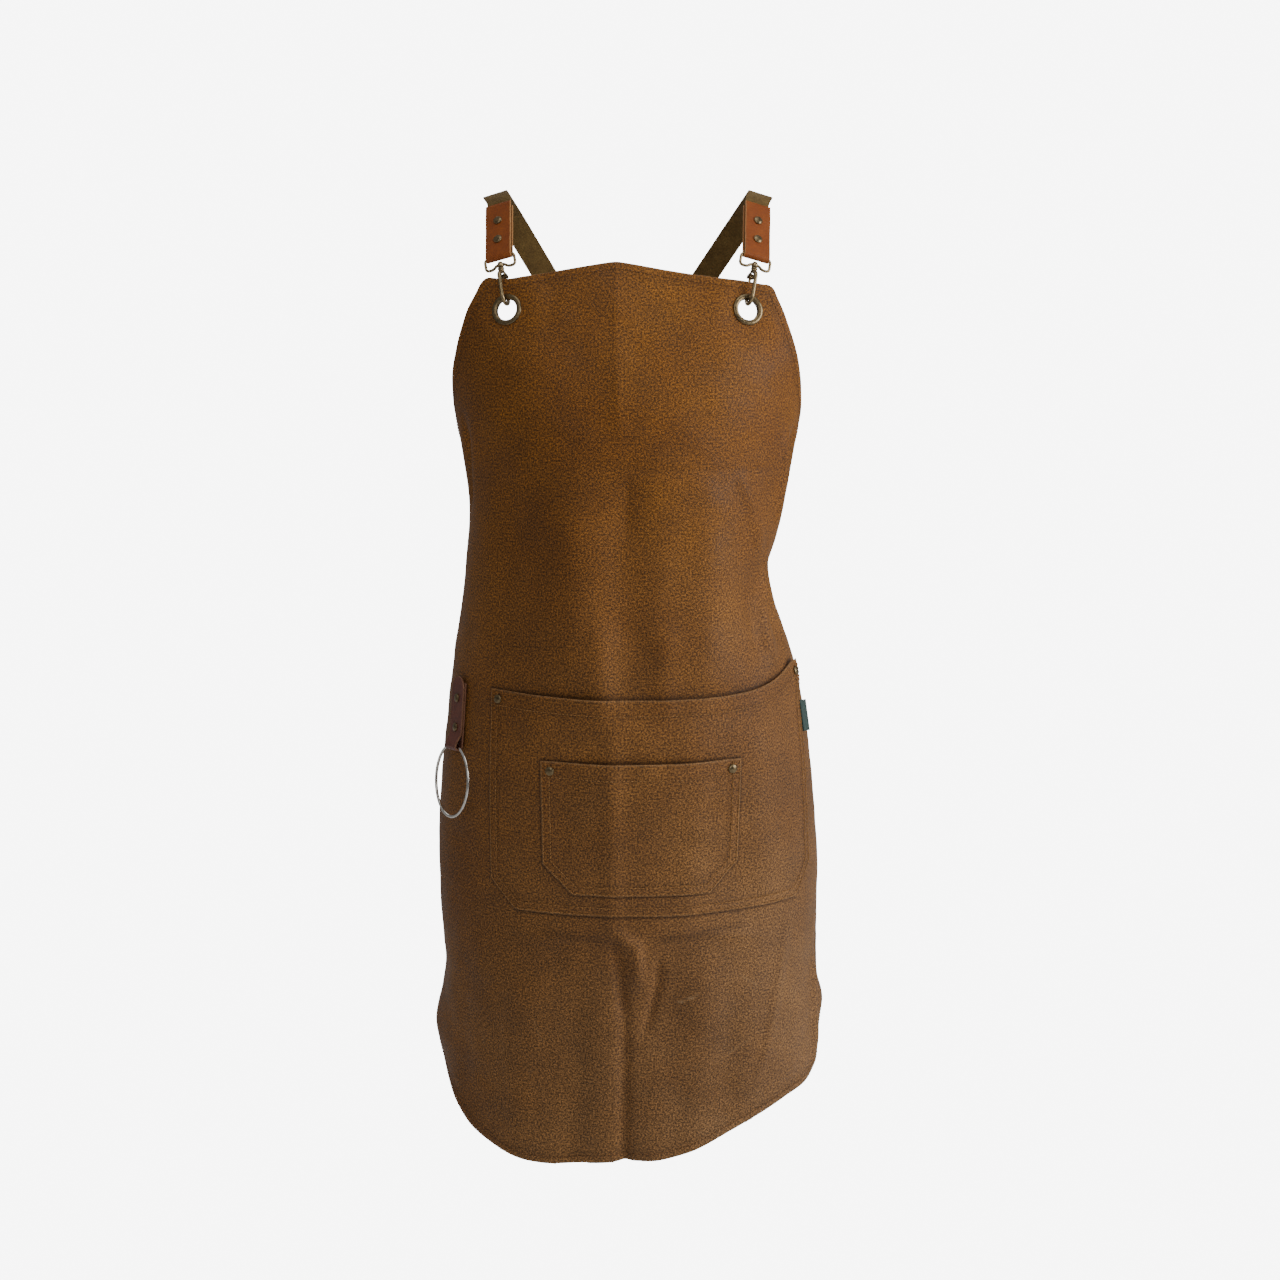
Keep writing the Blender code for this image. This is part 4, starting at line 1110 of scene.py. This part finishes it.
def sprung_gate(place, frame):
    """The gate that closes the hook's mouth, with the eye for its pin."""
    y, z = GATE_PIVOT
    path = [(0, y, z - 0.001), (0, y, (z + NOSE_TOP) / 2), (0, y, NOSE_TOP + 0.0006)]
    across = Matrix.Translation((0, y, z)) @ Matrix.Rotation(math.radians(90), 4, "Y")
    eye = collar(0.0009, 0.0017, -0.0012, 0.0012, (0.0003, 0.0003), 28)
    shapes = [tube(path, [0.0013, 0.00125, 0.00115]), moved(eye, across)]
    hardware(f"{place}_sprung_gate", shapes, frame, f"{place}_gate", f"{place}_gate")


# ---- straps

def turned_about_x(frame, towards):
    """The frame turned about its own x so that its z points as near to there as it can."""
    across = (frame.to_3x3() @ Vector((1, 0, 0))).normalized()
    up = towards - frame.translation
    up = (up - across * up.dot(across)).normalized()
    return matrix_of(frame.translation, across, up.cross(across), up)


def bar_frame(frame):
    """The hook's frame moved up to the bar that the strap goes round."""
    return frame @ Matrix.Translation((0, 0, BAR_Z))


def leather_end(name, end):
    """A leather strip folded round the loop's bar and riveted through the webbing inside."""
    middle = LEATHER_INNER + LEATHER_THICKNESS / 2
    heights = np.linspace(LEATHER_LENGTH, 0.004, 24)
    line = [(0, -middle - 0.0002 * math.sin(h * 170), h) for h in heights]
    line += arc((0, 0, 0), middle, 180, 360, 18)
    line += [(0, middle, h) for h in heights[::-1] - 0.002]
    across = end.col[0][:3]
    stations = [station(end @ Vector(p), across) for p in line]
    halves = [LEATHER_WIDTH / 2 * (1 - 0.012 * bell(p[2] - 0.012, 0.01)) for p in line]
    strip(name.replace("leather", "folded_leather"), "strap_leather", stations, halves,
          LEATHER_THICKNESS, 0.45, name)
    outside = LEATHER_INNER + LEATHER_THICKNESS
    for i, height in enumerate(LEATHER_RIVETS, 1):
        at = end @ Matrix.Translation((0, 0, height))
        cap_rivet(f"{name}_cap_{i}", at, -outside, outside, f"{name}_rivet_{i}")


def through(stations):
    """A smooth curve through the second to the last but one of the stations."""
    return spline(stations, 10) + [stations[-2]]


def back_point(sign, share, low):
    """Where the strap lies on the back, a share of the way from its shoulder to the far hip."""
    x = sign * SHOULDER_X * (1 - share) + low.x * share
    z = low.z * share
    wide, behind = (float(form_at(z)[i]) for i in (0, 3))
    rests = behind * math.sqrt(1 - (x / wide) ** 2) + BACK_LIFT
    if sign < 0:
        rests += CROSSING_LIFT * float(smooth((0.078 - abs(x)) / 0.03))
    leaves = float(smooth((share - 0.72) / 0.28))
    return Vector((x, rests + (low.y - rests) * leaves, z))


def back_across(sign, share, low):
    """The direction across the strap where it lies flat on the back."""
    here, there = (back_point(sign, share + ahead, low) for ahead in (0, 0.02))
    wide, behind = (float(form_at(here.z)[i]) for i in (0, 3))
    normal = Vector((here.x / wide ** 2, here.y / behind ** 2, 0))
    return (there - here).cross(normal).normalized()


def station(point, across):
    """A point of a strap's middle line and the direction across it, as one row."""
    return np.array([*point, *across])


def strap_line(sign, front, low_bar):
    """The strap's stations: to the adjuster, across it, and on to the loop at the hip."""
    inside = [station(front @ Vector((0, 0, h)), front.col[0][:3]) for h in (0.006, 0.03, 0.062)]
    tilt = math.radians(SHOULDER_SLOPE)
    over = Vector((math.cos(tilt), 0, -sign * math.sin(tilt)))
    top = Vector((sign * SHOULDER_X, 0, 0)) + over.cross(Vector((0, 1, 0))) * STRAP_THICKNESS / 2
    rest = Vector((0, SHOULDER_REST, 0))
    shoulder = [station(top - rest, over), station(top + rest, over)]
    low = low_bar.translation
    hip = -Vector(low_bar.col[0][:3])
    down = []
    for share in BACK_SHARES + ADJUSTER_SHARES:
        flat = over.lerp(back_across(sign, share, low), float(smooth(share / 0.15)))
        across = flat.lerp(hip, float(smooth((share - 0.66) / 0.16)))
        down.append(station(back_point(sign, share, low), across))
    down[-1][3:] = down[-2][3:] = (down[-1][3:] + down[-2][3:]) / 2
    at_bar = [station(low_bar @ Vector((0, -STRAP_SPREAD, h)), hip) for h in (0.01, 0)]
    upper = inside[:2] + through(inside[1:] + shoulder) + through(shoulder + down)
    return upper, through(down[-2:] + at_bar)


def shifted(row, along, outwards):
    """The station moved out of the strap's face by that much."""
    point, across = Vector(row[:3]), Vector(row[3:]).normalized()
    return station(point + across.cross(along).normalized() * outwards, across)


def strap(name, sign, front, low_bar):
    """Webbing over one shoulder, down across the back, through the loop at the far hip and
    back up to the middle bar of its adjuster. Gives the adjuster's frame."""
    upper, lower = strap_line(sign, front, low_bar)
    first, second = Vector(upper[-1][:3]), Vector(lower[0][:3])
    along = (second - first).normalized()
    across = (Vector(upper[-1][3:]) + Vector(lower[0][3:])).normalized()
    across = (across - along * across.dot(along)).normalized()
    slide = matrix_of((first + second) / 2, -across, -across.cross(along), -along)
    between_them = [upper[-1] + (lower[0] - upper[-1]) * t for t in (0.25, 0.5, 0.75)]
    bend = [low_bar @ Vector(p) for p in arc((0, 0, 0), STRAP_SPREAD, 180, 360, 14)]
    hip = Vector(lower[-1][3:])
    line = upper + between_them + lower + [station(p, hip) for p in bend]
    down_at_hip = Vector(lower[-1][:3]) - Vector(lower[-2][:3])
    back_up = [shifted(row, down_at_hip, -2 * STRAP_SPREAD) for row in lower[::-1]]
    radius, middle = SLIDE_WIRE + 0.0004 + STRAP_THICKNESS / 2, SLIDE_MIDDLE
    hug = [(0, middle + radius, -0.008)] + arc((0, middle, 0), radius, 0, 180, 14)
    hug += [(0, middle - radius, -0.007)]
    line += back_up[:-6] + [station(slide @ Vector(p), across) for p in hug]
    strip(name.replace("strap", "webbing"), "webbing", line, STRAP_WIDTH / 2, STRAP_THICKNESS, 0.7, name)
    return slide


def adjuster(name, frame):
    """A three-bar slide round the strap, whose middle bar holds the strap's end."""
    wide, tall = SLIDE_HALF
    corner, y = 0.003, -SLIDE_OUTER
    line = [(0, y, tall)]
    for x, z, start in ((1, 1, 90), (1, -1, 0), (-1, -1, -90), (-1, 1, 180)):
        centre = (x * (wide - corner), y, z * (tall - corner))
        line += arc(centre, corner, start, start - 90, 5, (0, 2)) + [(0, y, -tall)] * (start == 0)
    bar = [(-wide, y, 0), (-wide, SLIDE_MIDDLE - 0.0016, 0),
           (0.0003 - wide, SLIDE_MIDDLE - 0.0004, 0), (0.0016 - wide, SLIDE_MIDDLE, 0)]
    bar += [(-p[0], p[1], p[2]) for p in bar[::-1]]
    shapes = [tube(line, SLIDE_WIRE, True, 14, 3), tube(bar, SLIDE_WIRE, False, 14, 4)]
    hardware(f"{name}_slide", shapes, frame, name)


def straps():
    """Both straps with their leather ends and adjusters."""
    for side, sign in SIDES.items():
        front = bar_frame(hook_frame(f"front_{side}"))
        front = turned_about_x(front, Vector((sign * SHOULDER_X, -0.018, 0)))
        hip = bar_frame(hook_frame("back_right" if sign < 0 else "back_left"))
        hip = turned_about_x(hip, back_point(sign, ADJUSTER_SHARES[1], hip.translation))
        slide = strap(f"strap_{side}", sign, front, hip)
        leather_end(f"strap_{side}_leather", front)
        adjuster(f"strap_{side}_adjuster", slide)


# ---- towel ring and label

def towel_tab():
    """A leather strip with a round top, folded round the towel ring and riveted on."""
    thick, back = LEATHER_THICKNESS, LEATHER_THICKNESS / 2
    at = form_frame(*TAB_AT, 0.0013)
    radius = TAB_INNER + thick / 2
    middle = back + radius
    front = back + thick + 0.0004
    line = [(back, z, TAB_HALF * 0.96) for z in np.linspace(TAB_TOP - 0.006, TAB_FOLD + 0.012, 12)]
    line += [(y, z, TAB_NECK) for _, y, z in arc((0, middle, TAB_FOLD), radius, 180, 360, 18)]
    for z in np.linspace(TAB_FOLD + 0.003, TAB_TOP - TAB_HALF, 22):
        up = float(smooth((z - TAB_FOLD - 0.003) / 0.013))
        lifted = middle + radius + (front - middle - radius) * float(smooth((z - TAB_FOLD) / 0.013))
        line.append((lifted, z, TAB_NECK + (TAB_HALF - TAB_NECK) * up))
    for angle in np.radians((10, 20, 30, 40, 50, 58, 66, 73, 79, 84, 87.5)):
        line.append((front, TAB_TOP - TAB_HALF * (1 - math.sin(angle)), TAB_HALF * math.cos(angle)))
    stations = [station(at @ Vector((0, -y, z)), at.col[0][:3]) for y, z, _ in line]
    halves = [half for _, _, half in line]
    strip("folded_towel_tab", "tab_leather", stations, halves, thick, 0.5, "towel_tab")
    for i, z in enumerate(TAB_RIVETS, 1):
        spot = at @ Matrix.Translation((0, 0, z))
        cap_rivet(f"cap_rivet_tab_{i}", spot, -0.0025, front + thick / 2, f"towel_tab_rivet_{i}")
    return at @ Matrix.Translation((0, -middle, TAB_FOLD))


def towel_ring(axis):
    """A nickel plated wire ring, welded into a round."""
    sagitta = RING_RADIUS - math.sqrt(RING_RADIUS ** 2 - TAB_NECK ** 2)
    points = arc((0, 0, sagitta / 2 - RING_RADIUS), RING_RADIUS, 0, 360, 72, (0, 2))[:-1]
    ring = tube(points, RING_WIRE, True, 20, 3)
    hardware("nickel_ring", [ring], axis, "towel_ring", "ring", "polished_steel")


def label():
    """A plain woven tab, folded and caught in the large pocket's side seam."""
    at = form_frame(LARGE_POCKET.right + 0.0012, -0.495, 0.0036)
    out = np.linspace(0, LABEL_REACH, 10)
    back = np.linspace(LABEL_REACH, -0.0012, 10)
    turns = np.radians(range(20, 180, 20))
    line = [(-0.0012, 0.0004)] + [(x, 0.0004 + 0.06 * x) for x in out]
    line += [(LABEL_REACH + 0.0004 + 0.0004 * math.sin(a), -0.0001 + 0.0006 * math.cos(a)) for a in turns]
    line += [(x, -0.0007 + 0.06 * x) for x in back]
    stations = [station(at @ Vector((x, -0.42 * x - y, 0)), at.col[2][:3]) for x, y in line]
    strip("label_flag", "label", stations, 0.0152, 0.0005, 0.8, "side_label")


# ---- materials

def plug(socket, value):
    """Links another node's output to the socket, or sets it to a plain value."""
    if isinstance(value, bpy.types.NodeSocket):
        socket.id_data.links.new(value, socket)
    else:
        socket.default_value = value


def node(tree, kind, settings=None, **values):
    """A shader node. Each value goes to the input of its name, or _0, _1 for a numbered one."""
    made = tree.nodes.new("ShaderNode" + kind)
    for key, value in (settings or {}).items():
        setattr(made, key, value)
    for key, value in values.items():
        plug(made.inputs[int(key[1:]) if key[0] == "_" else key.replace("_", " ")], value)
    return made


def maths(operation, a, b=0.0, c=0.5, clamp=False):
    """The result of a maths node."""
    settings = {"operation": operation, "use_clamp": clamp}
    return node(a.id_data, "Math", settings, _0=a, _1=b, _2=c).outputs[0]


def times(a, b, clamp=False):
    """The two multiplied."""
    return maths("MULTIPLY", a, b, clamp=clamp)


def noise(vector, scale, detail=4.0, roughness=0.55, distortion=0.0):
    """A noise texture's value."""
    values = {"Scale": scale, "Detail": detail, "Roughness": roughness, "Distortion": distortion}
    return node(vector.id_data, "TexNoise", Vector=vector, **values).outputs["Fac"]


def stretched(vector, x, y, z=1.0):
    """The coordinates scaled along each axis."""
    return node(vector.id_data, "Mapping", Vector=vector, Scale=(x, y, z)).outputs[0]


def split(vector):
    """The coordinates one by one."""
    return node(vector.id_data, "SeparateXYZ", Vector=vector).outputs


def between(value, low, high, to_low=0.0, to_high=1.0):
    """The value brought from one range into another, and kept in it."""
    ranges = {"From_Min": low, "From_Max": high, "To_Min": to_low, "To_Max": to_high}
    return node(value.id_data, "MapRange", Value=value, **ranges).outputs["Result"]


def mixed(share, a, b):
    """Two colours mixed by that share, each a node's output or its red, green and blue."""
    a, b = ((*colour, 1) if isinstance(colour, tuple) else colour for colour in (a, b))
    return node(share.id_data, "Mix", {"data_type": "RGBA"}, _0=share, _6=a, _7=b).outputs[2]


def toned(tone, dark, light, low=0.3, high=0.7):
    """A colour from dark to light, by the tone."""
    return mixed(between(tone, low, high), dark, light)


def shaded(colour, value):
    """The colour made brighter or darker by that factor."""
    return node(value.id_data, "HueSaturation", Value=value, Color=colour).outputs[0]


def attribute(place, name):
    """A named value of the mesh, in the material that place belongs to."""
    return node(place.id_data, "Attribute", {"attribute_name": name}).outputs["Fac"]


def bumped(height, strength, distance, normal=None):
    """A normal disturbed by that height."""
    values = {"Height": height, "Strength": strength, "Distance": distance}
    if normal:
        values["Normal"] = normal
    return node(height.id_data, "Bump", **values).outputs[0]


def new_material(name, space):
    """A material's shader, and its coordinates of that kind."""
    made = bpy.data.materials.new(name)
    made.use_nodes = True
    MATERIALS[name] = made
    place = node(made.node_tree, "TexCoord").outputs[space]
    return made.node_tree.nodes["Principled BSDF"], place


def connect(shader, **values):
    """The shader's inputs, linked or set."""
    for key, value in values.items():
        plug(shader.inputs[key.replace("_", " ")], value)


def woven(uv, warp, weft):
    """The height of a plain weave with threads that wide, from 0 to 1."""
    waves_of = [maths("SINE", times(split(uv)[i], math.pi / wide)) for i, wide in enumerate((warp, weft))]
    return maths("MULTIPLY_ADD", times(*waves_of), 0.5)


def canvas_material():
    """Waxed cotton canvas: warm and even at the chest, greyer and more rubbed below. Painted light and a
    grey painted sheen brighten its right side, and painted shade darkens its edges and creases.
    """
    shader, uv = new_material("canvas", "UV")
    side, height = split(uv)[0], split(uv)[1]
    cloud = noise(uv, 6.5, 5.0, 0.6, 0.3)
    patches = noise(uv, 28.0, 6.0, 0.62)
    warp, weft = (noise(stretched(uv, *scale), 1.0, 2.0) for scale in ((1150.0, 95.0), (95.0, 1150.0)))
    grain = maths("MULTIPLY_ADD", maths("ADD", warp, weft), 0.5)
    speck = noise(uv, 590.0, 2.0, 0.6)
    lower = between(maths("ADD", height, times(cloud, 0.2)), -0.12, -0.68)
    warm = toned(cloud, (0.128, 0.044, 0.0038), (0.168, 0.063, 0.0062), 0.35, 0.68)
    grey = toned(cloud, (0.112, 0.051, 0.0155), (0.168, 0.085, 0.032), 0.35, 0.68)
    # Greyer below, and more so towards the right: the right-hand grey is a painted sheen from the window
    # light.
    base = mixed(times(lower, between(side, -0.24, 0.16, 0.35, 1.15), True), warm, grey)
    # Random patches of tone, times painted light that brightens the right side towards the window.
    tone = times(between(patches, 0.25, 0.78, 0.8, 1.2), between(side, -0.25, 0.2, 0.92, 1.05))
    for value in (tone, between(grain, 0.34, 0.66, 0.66, 1.36), between(speck, 0.4, 0.66, 0.46, 2.04)):
        base = shaded(base, value)
    broken = between(noise(uv, 150.0, 3.0, 0.7), 0.38, 0.62)
    scuffed = times(attribute(uv, "wear"), maths("MULTIPLY_ADD", broken, 0.7), True)
    rubbed = between(noise(stretched(uv, 34.0, 20.0), 1.0, 6.0, 0.75, 1.2), 0.63, 0.78, 0.0, 0.34)
    worn = maths("MAXIMUM", scuffed, times(rubbed, lower))
    base = mixed(worn, base, (0.42, 0.26, 0.13))
    # Painted shade: the edge value darkens the cloth along pocket edges, hem steps and creases.
    base = mixed(times(attribute(uv, "edge"), 0.95), base, (0.03, 0.013, 0.004))
    normal = bumped(noise(uv, 60.0, 5.0, 0.6), 0.35, 0.0016)
    normal = bumped(maths("MULTIPLY_ADD", grain, 0.8), 0.55, 0.00035, normal)
    normal = bumped(woven(uv, 0.00115, 0.00105), 0.45, 0.00022, normal)
    rough = maths("ADD", between(patches, 0.3, 0.75, 0.56, 0.74), times(worn, 0.12))
    connect(shader, Base_Color=base, Roughness=rough, Specular_IOR_Level=0.34, Sheen_Weight=0.05,
            Sheen_Roughness=0.4, Normal=normal)


def thread_material(name, dark, light):
    """Twisted polyester thread, a little darkened by wax."""
    shader, place = new_material(name, "Object")
    colour = toned(noise(place, 130.0, 3.0), dark, light)
    twist = bumped(noise(place, 2600.0, 1.0), 0.4, 0.0001)
    connect(shader, Base_Color=colour, Roughness=0.6, Sheen_Weight=0.05, Normal=twist)


def leather_material(name, dark, light, edge, rough):
    """Smooth strap leather: fine pores, darker hollows, and paler cut edges."""
    shader, uv = new_material(name, "UV")
    cloud = noise(uv, 45.0, 5.0, 0.6)
    voronoi = node(uv.id_data, "TexVoronoi", {"feature": "DISTANCE_TO_EDGE"}, Vector=uv, Scale=1500.0)
    pores = between(voronoi.outputs["Distance"], 0.0, 0.25)
    creases = noise(stretched(uv, 110.0, 420.0), 1.0, 4.0, 0.65)
    cut = times(attribute(uv, "edge"), between(cloud, 0.2, 0.6, 0.55, 0.95))
    colour = shaded(toned(cloud, dark, light), between(creases, 0.3, 0.7, 0.86, 1.1))
    colour = mixed(cut, colour, edge)
    normal = bumped(pores, 0.25, 0.00012, bumped(creases, 0.3, 0.0003))
    roughness = maths("ADD", between(cloud, 0.3, 0.7, rough, rough + 0.14), times(cut, 0.25))
    connect(shader, Base_Color=colour, Roughness=roughness, Specular_IOR_Level=0.36,
            Coat_Weight=0.06, Coat_Roughness=0.3, Normal=normal)


def webbing_material():
    """Heavy cotton webbing: lengthwise ribs crossed by picks, with a tight selvedge."""
    shader, uv = new_material("webbing", "UV")
    weave = woven(uv, 0.0011, 0.0008)
    ribs = maths("ABSOLUTE", maths("SINE", times(split(uv)[0], math.pi / 0.0011)))
    tone = noise(uv, 90.0, 5.0, 0.65)
    fuzz = noise(stretched(uv, 1400.0, 500.0), 1.0, 2.0)
    shade = times(between(weave, 0.0, 1.0, 0.78, 1.12), between(fuzz, 0.3, 0.7, 0.85, 1.12))
    colour = shaded(toned(tone, (0.135, 0.078, 0.02), (0.22, 0.135, 0.04)), shade)
    colour = mixed(times(attribute(uv, "edge"), 0.35), colour, (0.1, 0.058, 0.022))
    normal = bumped(weave, 0.7, 0.0003, bumped(ribs, 0.5, 0.0003))
    normal = bumped(fuzz, 0.4, 0.0002, normal)
    rough = between(tone, 0.3, 0.7, 0.74, 0.9)
    connect(shader, Base_Color=colour, Roughness=rough, Specular_IOR_Level=0.25,
            Sheen_Weight=0.05, Normal=normal)


def brass_material():
    """Antiqued brass: dark in its hollows, rubbed bright where it stands proud."""
    shader, place = new_material("antique_brass", "Object")
    proud = between(node(place.id_data, "NewGeometry").outputs["Pointiness"], 0.49, 0.56)
    cloud = noise(place, 420.0, 4.0, 0.6)
    spots = noise(place, 1700.0, 3.0, 0.7)
    dark = toned(cloud, (0.085, 0.062, 0.036), (0.2, 0.14, 0.068))
    bright = toned(spots, (0.48, 0.34, 0.17), (0.62, 0.47, 0.26))
    share = maths("MULTIPLY_ADD", proud, 0.55, 0.22)
    share = times(share, between(cloud, 0.25, 0.6, 0.35, 1.2), True)
    rough = maths("ADD", between(cloud, 0.3, 0.7, 0.24, 0.42), times(share, -0.06))
    normal = bumped(spots, 0.12, 0.0002)
    connect(shader, Base_Color=mixed(share, dark, bright), Metallic=0.95, Roughness=rough, Normal=normal)


def nickel_material():
    """Bright nickel plate with fine wiping marks."""
    shader, place = new_material("polished_steel", "Object")
    marks = noise(stretched(place, 300.0, 300.0, 1400.0), 1.0, 3.0, 0.7)
    colour = toned(noise(place, 130.0, 4.0), (0.66, 0.61, 0.53), (0.86, 0.83, 0.77))
    rough = between(marks, 0.3, 0.7, 0.1, 0.24)
    connect(shader, Base_Color=colour, Metallic=1.0, Roughness=rough, Normal=bumped(marks, 0.06, 0.0001))


def label_material():
    """Dark green woven tape."""
    shader, uv = new_material("label", "UV")
    weave = woven(uv, 0.0004, 0.0004)
    tone = noise(uv, 300.0, 4.0)
    colour = toned(tone, (0.01, 0.035, 0.03), (0.028, 0.075, 0.062))
    colour = shaded(colour, between(weave, 0.0, 1.0, 0.85, 1.15))
    rough = between(tone, 0.3, 0.7, 0.55, 0.7)
    connect(shader, Base_Color=colour, Roughness=rough, Sheen_Weight=0.2, Normal=bumped(weave, 0.4, 0.0001))


def floor_material():
    """Matt pale floor that the camera sees as bright as the backdrop."""
    shader, place = new_material("floor", "Object")
    colour = mixed(noise(place, 3.0), (0.78, 0.78, 0.78), (0.8, 0.8, 0.8))
    connect(shader, Base_Color=colour, Roughness=0.9)
    tree = shader.id_data
    bright = node(tree, "Emission", Color=(1, 1, 1, 1), Strength=BACKDROP).outputs[0]
    plug(tree.nodes["Material Output"].inputs["Surface"], backdrop(tree, bright, shader.outputs[0]))


def make_materials():
    """Every material that the pieces use."""
    canvas_material()
    thread_material("thread", (0.25, 0.105, 0.022), (0.46, 0.22, 0.06))
    thread_material("hem_thread", (0.11, 0.042, 0.01), (0.19, 0.08, 0.022))
    russet = (0.245, 0.053, 0.005), (0.35, 0.088, 0.0085), (0.5, 0.24, 0.08)
    brown = (0.125, 0.034, 0.018), (0.2, 0.062, 0.036), (0.28, 0.13, 0.07)
    leather_material("strap_leather", *russet, 0.44)
    leather_material("tab_leather", *brown, 0.38)
    webbing_material()
    brass_material()
    nickel_material()
    label_material()
    floor_material()


# ---- studio

def area_light(name, place, target, size, power):
    """A soft square light that faces the target."""
    data = bpy.data.lights.new(name, "AREA")
    data.shape = "SQUARE"
    data.size = size
    data.energy = power
    obj = bpy.data.objects.new(name, data)
    obj.location = place
    direction = Vector(target) - Vector(place)
    obj.rotation_euler = direction.to_track_quat("-Z", "Y").to_euler()
    bpy.context.scene.collection.objects.link(obj)


def backdrop(tree, seen, lit):
    """What the camera sees where nothing is in front, and a softer light for everything else."""
    path = node(tree, "LightPath")
    return node(tree, "MixShader", _0=path.outputs["Is Camera Ray"], _1=lit, _2=seen).outputs[0]


def set_stage():
    """A plain pale floor, soft studio light and the camera."""
    world = bpy.data.worlds.new("studio")
    bpy.context.scene.world = world
    world.use_nodes = True
    tree = world.node_tree
    tree.nodes.clear()
    up = split(node(tree, "TexCoord").outputs["Generated"])[2]
    glow = between(up, -0.5, 0.9, 0.08, 0.3)
    lit = node(tree, "Background", Color=(0.97, 0.98, 1.0, 1), Strength=glow).outputs[0]
    seen = node(tree, "Background", Color=(1, 1, 1, 1), Strength=BACKDROP).outputs[0]
    node(tree, "OutputWorld", Surface=backdrop(tree, seen, lit))

    corners = [(x * FLOOR_HALF, y * FLOOR_HALF, FLOOR_Z) for x, y in ((-1, -1), (1, -1), (1, 1), (-1, 1))]
    new_object("studio_floor", corners, [(0, 1, 2, 3)], "floor")
    for light in LIGHTS:
        area_light(*light)

    camera = bpy.data.objects.new("camera", bpy.data.cameras.new("camera"))
    bpy.context.scene.collection.objects.link(camera)
    camera.location = CAMERA_AT
    camera.rotation_euler = (math.radians(90 - CAMERA_DOWN), 0, 0)
    camera.data.lens = CAMERA_LENS
    camera.data.sensor_width = 36
    bpy.context.scene.camera = camera


# ---- the apron


def main():
    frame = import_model()
    make_materials()
    for name, obj in frame["nodes"].items():
        if name.endswith(("_gate_pin", "_gate_spring")):
            obj.data.materials.clear()
            obj.data.materials.append(MATERIALS["antique_brass"])
    panel = canvas_panel()
    large = pocket("canvas_large_pocket", LARGE_POCKET, large_height, "large_pocket")
    small = pocket("canvas_small_pocket", SMALL_POCKET, small_height, "small_pocket")
    all_stitches()
    pocket_rivets()
    for place in HOOK_LEAN:
        grommet(place)
        for piece in (wire_loop, cast_hook, sprung_gate):
            piece(place, hook_frame(place))
    straps()
    towel_ring(towel_tab())
    label()
    set_stage()


main()
